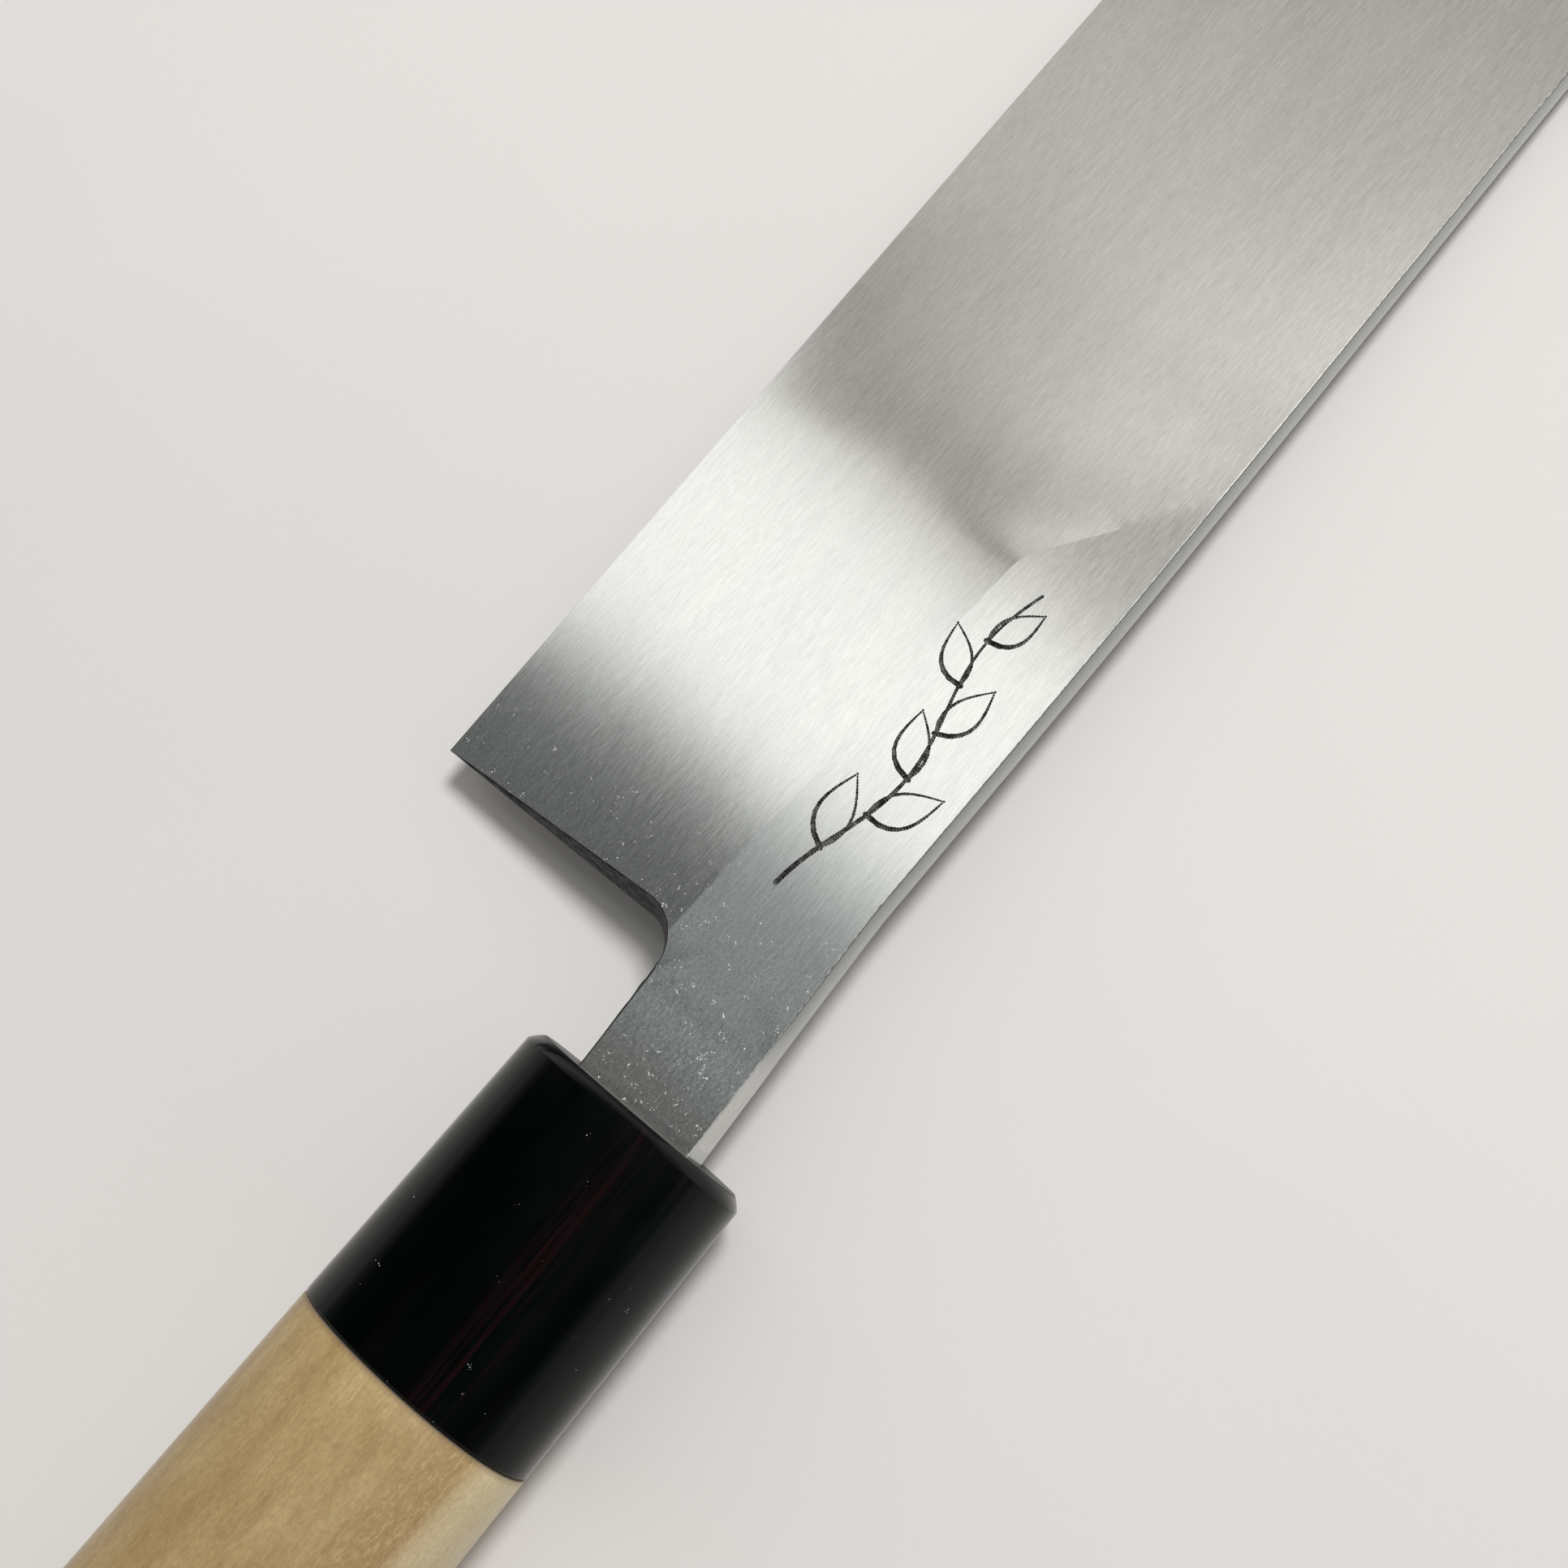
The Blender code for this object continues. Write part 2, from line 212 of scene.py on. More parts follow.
# %% Outline of the blade
def slope(degrees):
    """Rise per length at an angle."""
    return math.tan(math.radians(degrees))


HEEL = Vector((0.0151, 0.0408))
BLADE_LENGTH = 0.210
TIP_X = HEEL.x + BLADE_LENGTH
SPINE_START, SPINE_BEND, SPINE_ABOVE = 0.0281, 0.0661, 0.0058
EDGE_SLOPE, SPINE_SWELL, SPINE_FALL = slope(0.3), slope(0.4), slope(0.75)
CHIN_LEAN, NECK_FLARE = slope(2.7), slope(3.0)
TANG_LENGTH, TANG_END_HALF = 0.092, 0.003
NECK_HALF, NECK_END = 0.0070, 0.0114


def edge_y(x):
    """Cutting edge's distance from the handle's axis."""
    return HEEL.y - (x - HEEL.x) * EDGE_SLOPE


def spine_y(x):
    """Spine's place across the blade."""
    swell = SPINE_SWELL * (min(x, SPINE_BEND) - SPINE_START)
    return -SPINE_ABOVE - swell + SPINE_FALL * max(x - SPINE_BEND, 0.0)


def bend(before, corner, after, radius, steps):
    """Arc that rounds a corner of the outline."""
    back, on = (before - corner).normalized(), (after - corner).normalized()
    half = back.angle(on) / 2
    centre = corner + (back + on).normalized() * radius / math.sin(half)
    spoke = corner + back * radius / math.tan(half) - centre
    turn = math.copysign(math.pi - 2 * half, back.cross(on))
    return [centre + Matrix.Rotation(-turn * k / steps, 2) @ spoke for k in range(steps + 1)]


TIP = Vector((TIP_X, spine_y(TIP_X)))
front_x = (spine_y(TIP_X) + TIP_X - edge_y(0.0)) / (1.0 - EDGE_SLOPE)
EDGE_CORNER = Vector((front_x, edge_y(front_x)))
chin_x = (HEEL.x + CHIN_LEAN * (HEEL.y - NECK_HALF)) / (1.0 + CHIN_LEAN * NECK_FLARE)
CHIN_CORNER = Vector((chin_x, NECK_HALF + chin_x * NECK_FLARE))
print("blade outline turns at", rounded((TIP, EDGE_CORNER, HEEL, CHIN_CORNER)))

# %% Dense outline with its stretches named
TIP_ROUND, CORNER_ROUND, CHIN_ROUND, KINK_ROUND, BEND_ROUND = 0.0004, 0.0015, 0.005, 0.06, 2.0
STEP, CHIN_STEP = 0.0012, 0.0005
kink = Vector((SPINE_START, spine_y(SPINE_START)))
neck_spine, neck_edge = Vector((0.0, -NECK_HALF)), Vector((0.0, NECK_HALF))
spine_top = Vector((SPINE_BEND, spine_y(SPINE_BEND)))
stretches = [
    ("tang", [Vector((-TANG_LENGTH, -TANG_END_HALF)), neck_spine]),
    ("spine", bend(neck_spine, kink, TIP, KINK_ROUND, 8) + bend(kink, spine_top, TIP, BEND_ROUND, 8)),
    ("tip", bend(spine_top, TIP, EDGE_CORNER, TIP_ROUND, 4)),
    ("edge", bend(TIP, EDGE_CORNER, HEEL, CORNER_ROUND, 8)),
    ("chin", [HEEL] + bend(HEEL, CHIN_CORNER, neck_edge, CHIN_ROUND, 40)),
    ("neck", [neck_edge]),
    ("tang", [Vector((-TANG_LENGTH, TANG_END_HALF))]),
]
corners = [(point, name) for name, points in stretches for point in points]
outline = []
for (point, name), (following, following_name) in zip(corners, corners[1:] + corners[:1]):
    count = max(1, round((following - point).length / (CHIN_STEP if name == "chin" else STEP)))
    along = following_name if following_name in ("tang", "neck") or name in ("tang", "neck") else name
    outline += [(point.lerp(following, k / count), along if k else name) for k in range(count)]
print(len(outline), "points round the blade")

# %% [markdown]
# ## The blade's thickness
# The back is hollow-ground, so that it lies on a thin rim and parts from the food. The front has a
# flat under the spine and one bevel down to the edge, parted by a ridge line that turns up to the
# spine. Under that turn the bevel is a little fuller, which spreads its twist along the blade. Writing
# the heights as functions of the plan lets one net of points carry all of it.

# %% Heights of front and back
SPINE_THICK, TIP_THICK, EDGE_THICK = 0.00453, 0.0038, 0.0001
NECK_THIN, TANG_THIN = 0.0026, 0.0015
RIDGE_TURN, RIDGE_END = 0.0644, 0.0796
RIDGE_AT_HEEL, RIDGE_AT_TURN, RIDGE_ROUND = 0.0146, 0.0120, 0.0004
RIDGE_PAST, RIDGE_FADE = 0.004, 0.0013
FULL_LEVEL, FULL_MOST, FULL_ENDS = 0.014, 0.8, (0.080, 0.130)
SLANT_SLOPE = slope(7.0)


def mix(first, second, share):
    """First at share 0, second at share 1, and so on beyond."""
    return first + (second - first) * share


def ramp(value, low, high):
    """0 below low, 1 above high, rising evenly between them."""
    return min(max((value - low) / (high - low), 0.0), 1.0)


def half_thickness(x):
    """Half the thickness of tang and neck, and the depth of the blade's back."""
    if x < 0.0:
        return mix(NECK_THIN, TANG_THIN, -x / TANG_LENGTH)
    return mix(NECK_THIN, SPINE_THICK / 2, min(x / NECK_END, 1.0))


def straight_ridge(x):
    """Ridge line as it would go on without its turn, nearly along the spine."""
    heel_y, turn_y = spine_y(HEEL.x) + RIDGE_AT_HEEL, spine_y(RIDGE_TURN) + RIDGE_AT_TURN
    return mix(heel_y, turn_y, (x - HEEL.x) / (RIDGE_TURN - HEEL.x))


def ridge_y(x):
    """Ridge line: straight, then slanting up to the spine, where it fades out."""
    along, turn_y = straight_ridge(x), straight_ridge(RIDGE_TURN)
    slant = mix(turn_y, spine_y(RIDGE_END), (x - RIDGE_TURN) / (RIDGE_END - RIDGE_TURN))
    rounding = math.log(1.0 + math.exp(-abs(along - slant) / RIDGE_ROUND))
    turned = min(along, slant) - RIDGE_ROUND * rounding
    outside = spine_y(x) - RIDGE_PAST
    inwards = min((turned - outside) / RIDGE_FADE, 60.0)  # a larger number would overflow exp
    return outside + RIDGE_FADE * math.log(1.0 + math.exp(inwards))


def fullness(x):
    """How full the bevel is under the ridge's turn, so that it doesn't twist there all at once."""
    share = min((straight_ridge(x) - ridge_y(x)) / FULL_LEVEL, 1.0)
    past = ramp(x, *FULL_ENDS)
    return FULL_MOST * share * (2.0 - share) * (1.0 - past * past * (3.0 - 2.0 * past))


def to_slant(x, y):
    """Distance inwards from the slanted front edge."""
    across = (EDGE_CORNER - TIP).normalized()
    return (Vector((x, y)) - TIP).dot(Vector((-across.y, across.x)))


def front_z(x, y):
    """Height of the bevelled face."""
    back = -half_thickness(x)
    if x < NECK_END:
        return -back
    thick = mix(SPINE_THICK, TIP_THICK, (x - HEEL.x) / BLADE_LENGTH)
    fall = ramp(y, ridge_y(x), edge_y(x))
    fall -= fullness(x) * fall * (1.0 - fall) ** 2
    bevel = back + mix(thick, EDGE_THICK, fall)
    return min(bevel, back + EDGE_THICK + max(0.0, to_slant(x, y)) * SLANT_SLOPE)


HOLLOW, HOLLOW_RIM, HOLLOW_FULL, HEEL_SHARE = 0.00032, 0.0022, 0.0182, 0.6


def back_z(x, y):
    """Height of the back, with its shallow hollow inside a flat rim."""
    inside = [y - spine_y(x), edge_y(x) - y, (x - HEEL.x) * HEEL_SHARE, to_slant(x, y)]
    reach = ramp(min(inside), HOLLOW_RIM, HOLLOW_FULL)
    return -half_thickness(x) + HOLLOW * math.sin(reach * math.pi / 2)


print("thickness at heel and tip:", SPINE_THICK, TIP_THICK, "hollow", HOLLOW)

# %% [markdown]
# ## A net of triangles over the plan
# A grid of quads can't follow a pointed outline and a turning ridge. Delaunay triangulation takes any
# points with lines that must stay, so the outline and the ridge become real edges of the mesh and the
# rest is filled with an even scatter.

# %% Fill a face of the blade
MM = 1000.0
ROWS_FROM, ROWS_TO, ROW_STEP = -7.0, 41.0, 1.3
SCATTER_FROM, SCATTER_TO, CLEARANCE = 12.0, 226.0, 0.45


def fill(rim, creases, spacing):
    """Plan triangles inside the rim, in metres: points, faces and the rim points' numbers."""
    points = [point * MM for point in rim]
    edges = [(k, (k + 1) % len(rim)) for k in range(len(rim))]
    for crease in creases:
        first = len(points)
        points += [point * MM for point in crease]
        edges += [(k, k + 1) for k in range(first, len(points) - 1)]
    scatter = []
    row, y = 0, ROWS_FROM
    while y < ROWS_TO:
        x = SCATTER_FROM + (row % 2) * spacing(0.0) / 2
        while x < SCATTER_TO:
            near = min((Vector((x, y)) - point).length_squared for point in points[::2])
            inside = spine_y(x / MM) * MM < y < edge_y(x / MM) * MM and to_slant(x / MM, y / MM) > 0.0
            if inside and near > (CLEARANCE * spacing(x)) ** 2 and x > chin_x * MM:
                scatter.append(Vector((x, y)))
            x += spacing(x)
        y += ROW_STEP
        row += 1
    verts, _, faces, origin, _, _ = geometry.delaunay_2d_cdt(points + scatter, edges, [], 1, 0.00001)
    places = {old: new for new, olds in enumerate(origin) for old in olds}
    return [vert / MM for vert in verts], faces, [places[k] for k in range(len(rim))]


CLOSE, WIDE, TWIST_FROM, TWIST_TO = 1.1, 2.4, 50.0, 88.0


def along_spacing(x):
    """Closer points where the ridge turns and the bevel twists, in millimetres."""
    return CLOSE if TWIST_FROM < x < TWIST_TO else WIDE


print("plan points will be", along_spacing(60.0), "to", along_spacing(150.0), "mm apart")

# %% [markdown]
# ## Build the blade
# Front and back are two such nets. Between them run rings of wall: a small chamfer at each rim, and
# between the chamfers a wall that leans out at the chin, which is left as it came from the forge, with
# a slightly wavy skin.

# %% Walls, faces and zones of the blade
CHIN_SLOPE, CHIN_STARTS, HEEL_CALM = slope(17.0), (0.0035, 0.0095), 0.003
SKIN_SCALE, SKIN_HEIGHT = 1400.0, 0.00014
# The neck's rim is eased wider, so that its dark forged finish draws a line of painted shade.
CHAMFER = {
    "spine": 0.00014, "tip": 0.00004, "edge": 0.00002, "chin": 0.0001, "neck": 0.00022, "tang": 0.00012}
BACK_CHAMFER, BACK_WIDENS = 0.00042, (0.010, 0.025)
EASED_IN, EASED_DOWN = 0.6, 0.12
SATIN, TANG, FORGED, CHISELLED, SPINE = range(5)
FINISH = {"spine": SPINE, "tip": SATIN, "edge": SATIN, "chin": FORGED, "neck": FORGED, "tang": TANG}
count = len(outline)
normals = []
for k in range(count):
    run = (outline[(k + 1) % count][0] - outline[k - 1][0]).normalized()
    normals.append(Vector((run.y, -run.x)))


def chin_share(k):
    """1 along the chin and its fillet, fading out down the neck."""
    point, name = outline[k]
    return ramp(point.x, *CHIN_STARTS) if name in ("chin", "neck") else 0.0


def rim_width(k, back=False):
    """Chamfer at an outline point, never more than a fifth of the blade's thickness there."""
    point, name = outline[k]
    wide = CHAMFER[name]
    if back and name == "spine":
        wide = mix(wide, BACK_CHAMFER, ramp(point.x, *BACK_WIDENS))
    return min(wide, 0.2 * (front_z(*point) - back_z(*point)))


def wall_point(k, share):
    """Point of the wall, from the front's chamfer at share 0 to the back's at share 1."""
    point, _ = outline[k]
    top, bottom = front_z(*point), back_z(*point)
    edge = rim_width(k)
    depth = edge + (top - bottom - edge - rim_width(k, True)) * share
    free = chin_share(k) * min((point - HEEL).length / HEEL_CALM, 1.0)
    out = normals[k] * free * CHIN_SLOPE * depth
    rough = noise.fractal(Vector((point.x, point.y, depth)) * SKIN_SCALE, 1.0, 2.0, 3)
    rough *= SKIN_HEIGHT * free * math.sin(math.pi * (0.15 + 0.85 * share))
    place = point + out + normals[k] * rough
    return Vector((place.x, place.y, top - depth))


def eased_point(k):
    """Point a little way down the front's chamfer, where the edge was eased with a stone."""
    point, edge = outline[k][0], rim_width(k)
    place = point - normals[k] * edge * EASED_IN
    return Vector((place.x, place.y, front_z(*point) - EASED_DOWN * edge))


WALL_ROWS = 6
RIDGE_FROM, RIDGE_STEP, RIDGE_POINTS, RIDGE_MARGIN = 16.6, 0.8, 79, 0.0004
rings = [[eased_point(k) for k in range(count)]]
rings += [[wall_point(k, row / WALL_ROWS) for k in range(count)] for row in range(WALL_ROWS + 1)]
front_rim = [outline[k][0] - normals[k] * rim_width(k) for k in range(count)]
back_rim = [Vector(rings[-1][k][:2]) - normals[k] * rim_width(k, True) for k in range(count)]
ridge_xs = [(RIDGE_FROM + RIDGE_STEP * k) / MM for k in range(RIDGE_POINTS)]
ridge = [Vector((x, ridge_y(x))) for x in ridge_xs if ridge_y(x) > spine_y(x) + RIDGE_MARGIN]
print("wall rings:", len(rings), "ridge points:", len(ridge))

# %% Put the blade's mesh together
def closed_mesh(bm, name):
    """Mesh from finished faces, all turned outwards."""
    bmesh.ops.recalc_face_normals(bm, faces=bm.faces)
    open_edges = sum(1 for edge in bm.edges if len(edge.link_faces) != 2)
    print(name, len(bm.faces), "faces,", open_edges, "open edges,", round(bm.calc_volume() * 1e6, 2), "cm3")
    mesh = bpy.data.meshes.new(name)
    bm.to_mesh(mesh)
    bm.free()
    return mesh


def blade_mesh():
    """Closed mesh of the blade in the knife's axes, with a finish number on every face."""
    bm = bmesh.new()
    nets = []
    for rim, creases, height, spacing in (
        (front_rim, [ridge], front_z, along_spacing),
        (back_rim, [], back_z, lambda x: WIDE),
    ):
        plan, faces, rim_numbers = fill(rim, creases, spacing)
        verts = [bm.verts.new((p.x, p.y, height(p.x, p.y))) for p in plan]
        for face in faces:
            bm.faces.new([verts[n] for n in face])
        nets.append([verts[n] for n in rim_numbers])
    walls = [[bm.verts.new(point) for point in ring] for ring in rings]
    for upper, lower in zip([nets[0]] + walls, walls + [nets[1]]):
        for k in range(count):
            on, name = (k + 1) % count, outline[k][1]
            face = bm.faces.new((upper[k], upper[on], lower[on], lower[k]))
            eased_spine = upper is nets[0] and name == "spine"
            face.material_index = CHISELLED if eased_spine else FINISH[name]
    return closed_mesh(bm, "blade_raw")


raw_blade = placed("blade_raw", blade_mesh())

# %% [markdown]
# ## A chiselled sprig
# Such blades are signed by hand with a small chisel, which leaves rows of short wedge-shaped bites.
# Here the place carries a plain sprig instead: a waved stem with leaves. Geometry Nodes walk along the
# strokes and set one bite after another, and a boolean takes the bites out of the steel.

# %% Strokes of the sprig
def stroke(points, start, end):
    """One chisel stroke in the knife's millimetres, with its width at both ends."""
    steps = len(points) - 1
    return [(x / MM, y / MM, mix(start, end, k / steps)) for k, (x, y) in enumerate(points)]


STEM_X, STEM_Y, STEM_RUN, STEM_DRIFT, WAVE_HEIGHT, WAVES = 61.5, 1.3, 36.5, 0.9, 1.5, 7.3


def sprig_stem(t):
    """Point of the waved stem, for t from 0 at the tip to 1 at the foot."""
    return STEM_X - STEM_RUN * t, STEM_Y + WAVE_HEIGHT * math.sin(WAVES * t + 0.4) + STEM_DRIFT * t


def sprig_leaf(t, side, length, spread):
    """The two curved strokes of a leaf that leaves the stem at t."""
    foot = Vector(sprig_stem(t))
    heading = (Vector(sprig_stem(t - 0.02)) - foot).normalized()
    out = Vector((-heading.y, heading.x)) * side
    tip = foot + heading * length * 0.86 + out * length * spread
    axis = (tip - foot).normalized()
    belly = Vector((-axis.y, axis.x)) * side * length
    strokes = []
    for bulge in (0.26, -0.2):
        points = []
        for k in range(9):
            share = k / 8
            swell = math.sin(math.pi * share ** 0.8) * bulge
            points.append(tuple(foot.lerp(tip, share) + belly * swell))
        strokes.append(stroke(points, 1.15 if bulge > 0 else 0.85, 0.4))
    return strokes


strokes = [stroke([sprig_stem(k / 40) for k in range(41)], 0.5, 1.1)]
for number, t in enumerate((0.16, 0.3, 0.44, 0.58, 0.72, 0.86)):
    side = 1 if number % 2 else -1
    strokes += sprig_leaf(t, side, 6.2 + 0.35 * number, 0.42 + 0.04 * (number % 3))
strokes.append(stroke([sprig_stem(-0.02 + 0.1 * k / 4) for k in range(5)], 0.7, 0.7))
sprig_curve = bpy.data.curves.new("sprig_strokes", "CURVE")
sprig_curve.dimensions = "3D"
for points in strokes:
    spline = sprig_curve.splines.new("POLY")
    spline.points.add(len(points) - 1)
    for spot, (x, y, width) in zip(spline.points, points):
        spot.co = (x, y, front_z(x, y), 1.0)
        spot.radius = width
sprig = placed("sprig_strokes", sprig_curve)
print("sprig strokes:", len(strokes))

# %% Helpers for Geometry Nodes trees
def new_tree(name, inputs):
    """Geometry Nodes tree with a geometry passing through and the named number inputs."""
    tree = bpy.data.node_groups.new(name, "GeometryNodeTree")
    tree.is_modifier = True
    tree.interface.new_socket("Geometry", in_out="INPUT", socket_type="NodeSocketGeometry")
    tree.interface.new_socket("Geometry", in_out="OUTPUT", socket_type="NodeSocketGeometry")
    for label, value in inputs.items():
        kind = "NodeSocketInt" if isinstance(value, int) else "NodeSocketFloat"
        socket = tree.interface.new_socket(label, in_out="INPUT", socket_type=kind)
        socket.default_value = value
    return tree, tree.nodes.new("NodeGroupInput").outputs, tree.nodes.new("NodeGroupOutput").inputs[0]


def shown_mesh(obj):
    """Plain mesh of what an object shows with its modifiers."""
    return bpy.data.meshes.new_from_object(obj.evaluated_get(bpy.context.evaluated_depsgraph_get()))


def bake(obj, tree, values):
    """Runs a tree on an object with its inputs set by identifier, and returns a plain mesh."""
    modifier = obj.modifiers.new(tree.name, "NODES")
    modifier.node_group = tree
    for item in tree.interface.items_tree:
        if item.in_out == "INPUT" and item.name in values:
            modifier[item.identifier] = values[item.name]
    mesh = shown_mesh(obj)
    bpy.data.objects.remove(obj)
    return mesh


def finish_nodes(geometry, result, material):
    """Ends a tree in Realize Instances and Set Material."""
    real = add("GeometryNodeRealizeInstances", {0: geometry})
    dressed = add("GeometryNodeSetMaterial", {"Geometry": real.outputs[0], "Material": material})
    feed(result, dressed.outputs[0])


# %% Bites along the strokes
STEELS = ("steel_satin", "steel_tang", "steel_forged", "steel_chiselled", "steel_spine")
steels = [bpy.data.materials.new(name) for name in STEELS]
for material in steels:
    raw_blade.data.materials.append(material)
BITE = {"Step": 0.0003, "Length": 0.00095, "Width": 0.00062, "Depth": 0.00036}
tree, sizes, result = new_tree("chisel_bites", BITE)
run = {"Curve": sizes["Geometry"], "Length": sizes["Step"]}
points = add("GeometryNodeResampleCurve", run, mode="LENGTH")
bite = add("GeometryNodeMeshIcoSphere", {"Radius": 0.5, "Subdivisions": 1})
size = add("ShaderNodeCombineXYZ", {0: sizes["Length"], 1: sizes["Width"], 2: sizes["Depth"]})
doubled = add("ShaderNodeVectorMath", {0: size.outputs[0], 1: (1.0, 1.0, 2.0)}, operation="MULTIPLY")
radius = add("GeometryNodeInputRadius")
jitter = add("FunctionNodeRandomValue", {2: 0.92, 3: 1.08, "Seed": 4}, data_type="FLOAT")
growth = times(radius.outputs[0], jitter.outputs[1])
grown = add("ShaderNodeVectorMath", {0: doubled.outputs[0], "Scale": growth}, operation="SCALE")
tangent = add("GeometryNodeInputTangent")
turn = add("FunctionNodeAlignRotationToVector", {"Vector": tangent.outputs[0]}, axis="X", pivot_axis="Z")
bites = add("GeometryNodeInstanceOnPoints", {
    "Points": points.outputs[0], "Instance": bite.outputs[0],
    "Rotation": turn.outputs[0], "Scale": grown.outputs[0]})
finish_nodes(bites.outputs[0], result, steels[SATIN])
bites_mesh = bake(sprig, tree, BITE)
for face in bites_mesh.polygons:
    face.material_index = CHISELLED
print("chisel bites:", len(bites_mesh.polygons), "faces")

# %% [markdown]
# ## Cutting one solid with another
# An exact boolean gives a closed result even where hundreds of bites cross. It leaves some pairs of
# points nanometres apart, with faces of no area between them, so these twins are merged at once.

# %% Take the bites out of the blade
TWIN = 0.0000005


def boolean(obj, cutter, operation="DIFFERENCE", self_crossing=False):
    """Exact boolean, applied at once, with the twin points that it leaves merged."""
    modifier = obj.modifiers.new("cut", "BOOLEAN")
    modifier.operation, modifier.object, modifier.solver = operation, cutter, "EXACT"
    modifier.use_self = self_crossing
    mesh = shown_mesh(obj)
    bm = bmesh.new()
    bm.from_mesh(mesh)
    bmesh.ops.remove_doubles(bm, verts=bm.verts, dist=TWIN)
    bm.to_mesh(mesh)
    bm.free()
    obj.modifiers.clear()
    obj.data = mesh
    bpy.data.objects.remove(cutter)


boolean(raw_blade, placed("sprig_bites", bites_mesh), self_crossing=True)
print("blade after engraving:", len(raw_blade.data.polygons), "faces")

# %% [markdown]
# ## Oval bodies
# Ferrule and grip are turned to the same oval, a superellipse a little fuller than an ellipse. One tree
# makes any such body from a grid: its rows run from the middle of the front face over a rounded rim,
# along the side and over the rear rim to the middle of the rear face.

# %% Oval body tree
tree, sizes, result = new_tree("oval_body", {
    "Front X": 0.0, "Length": 0.032, "Front Width": 0.0257, "Front Height": 0.0213, "Rear Width": 0.0271,
    "Rear Height": 0.0217, "Front Rim": 0.0012, "Rear Rim": 0.0001, "Rim Flatness": 0.5, "Oval Power": 2.15,
    "Sides": 128, "Rows": 61})
oval_material = bpy.data.materials.new("oval_default")
columns = plus(sizes["Sides"], 1.0)
grid = add("GeometryNodeMeshGrid", {
    "Size X": 1.0, "Size Y": 1.0, "Vertices X": columns, "Vertices Y": sizes["Rows"]})
place = add("GeometryNodeInputPosition")
grid_x, grid_y, _ = split(place.outputs[0])
round_share = plus(grid_x, 0.5)
run_share = plus(grid_y, 0.5)
CAP_ENDS, RIM_ENDS = 0.1, 0.25


def oval_end(share, rim, flatness):
    """Cap scale, inset and distance from the end face for the rows near one end."""
    cap = calc("POWER", minus(1.0, stretch(share, 0.0, CAP_ENDS)), 2.0)
    arc = stretch(share, CAP_ENDS, RIM_ENDS)
    angle = times(arc, math.pi / 2)
    round_in = minus(1.0, calc("SINE", angle))
    flat_in = minus(1.0, arc)
    round_on = minus(1.0, calc("COSINE", angle))
    inset = times(rim, between(flatness, round_in, flat_in))
    onward = times(rim, between(flatness, round_on, arc))
    return minus(1.0, cap), inset, onward


near_rim, far_rim, flatness = sizes["Front Rim"], sizes["Rear Rim"], sizes["Rim Flatness"]
front_cap, front_inset, front_on = oval_end(run_share, near_rim, flatness)
rear_share = minus(1.0, run_share)
rear_cap, rear_inset, rear_on = oval_end(rear_share, far_rim, flatness)
straight = minus(sizes["Length"], plus(near_rim, far_rim))
body_on = times(stretch(run_share, RIM_ENDS, 1.0 - RIM_ENDS), straight)
past_front = plus(front_on, body_on)
depth = plus(past_front, minus(far_rim, rear_on))
along = calc("DIVIDE", depth, sizes["Length"])
inset = times(plus(front_inset, rear_inset), 2.0)
cap = times(front_cap, rear_cap)
angle = times(round_share, 2.0 * math.pi)


def oval_axis(wave, near, far):
    """Signed power of a sine or cosine, times the half width of the oval there."""
    wide = minus(between(along, near, far), inset)
    turn = calc(wave, angle)
    full = calc("POWER", calc("ABSOLUTE", turn), calc("DIVIDE", 2.0, sizes["Oval Power"]))
    half = times(times(wide, cap), 0.5)
    return times(times(full, calc("SIGN", turn)), half)


across = oval_axis("COSINE", sizes["Front Width"], sizes["Rear Width"])
upward = oval_axis("SINE", sizes["Front Height"], sizes["Rear Height"])
back_x = minus(sizes["Front X"], depth)
spot = add("ShaderNodeCombineXYZ", {0: back_x, 1: across, 2: upward})
moved = add("GeometryNodeSetPosition", {"Geometry": grid.outputs[0], "Position": spot.outputs[0]})
welded = add("GeometryNodeMergeByDistance", {"Geometry": moved.outputs[0], "Distance": 0.0000002})
finish_nodes(welded.outputs[0], result, oval_material)
oval_tree = tree


def oval_body(name, front_x, rear_x, front, rear, rims, flatness=0.5, rows=61):
    """Closed oval body as an object; front and rear are its width and height there."""
    host = placed(name + "_host", bpy.data.meshes.new(name + "_host"))
    bm = bmesh.new()
    bm.from_mesh(bake(host, oval_tree, {
        "Front X": front_x, "Length": front_x - rear_x, "Front Width": front[0], "Front Height": front[1],
        "Rear Width": rear[0], "Rear Height": rear[1], "Front Rim": rims[0], "Rear Rim": rims[1],
        "Rim Flatness": flatness, "Rows": rows}))
    return placed(name, closed_mesh(bm, name))


# %% [markdown]
# ## Ferrule and grip
# The ferrule is a cup with a slot in its face, pushed over the wood's tenon. The tang goes through the
# slot into a burnt-in hole. Both holes are cut, so the pieces come apart as the real ones do.

# %% Ferrule, tenon, grip and their holes
FERRULE, WOOD, GAP = 0.032, 0.106, 0.0003
WALL, FACE = 0.0022, 0.003
FERRULE_FRONT, FERRULE_REAR, BUTT = (0.0257, 0.0213), (0.0271, 0.0217), (0.0308, 0.0246)
FERRULE_RIMS, GRIP_RIMS, TENON_RIM = (0.0012, 0.00015), (0.00012, 0.0015), 0.0006
BORE_PAST, TENON_PAST, HOLE_AHEAD, HOLE_PAST = 0.004, 0.002, 0.004, 0.002
SQUARE = ((-1, -1), (1, -1), (1, 1), (-1, 1))


def ferrule_size(x, trim):
    """Width and height of the ferrule at x, both less the trim."""
    sides = zip(FERRULE_FRONT, FERRULE_REAR)
    return [mix(front, rear, -x / FERRULE) - trim for front, rear in sides]


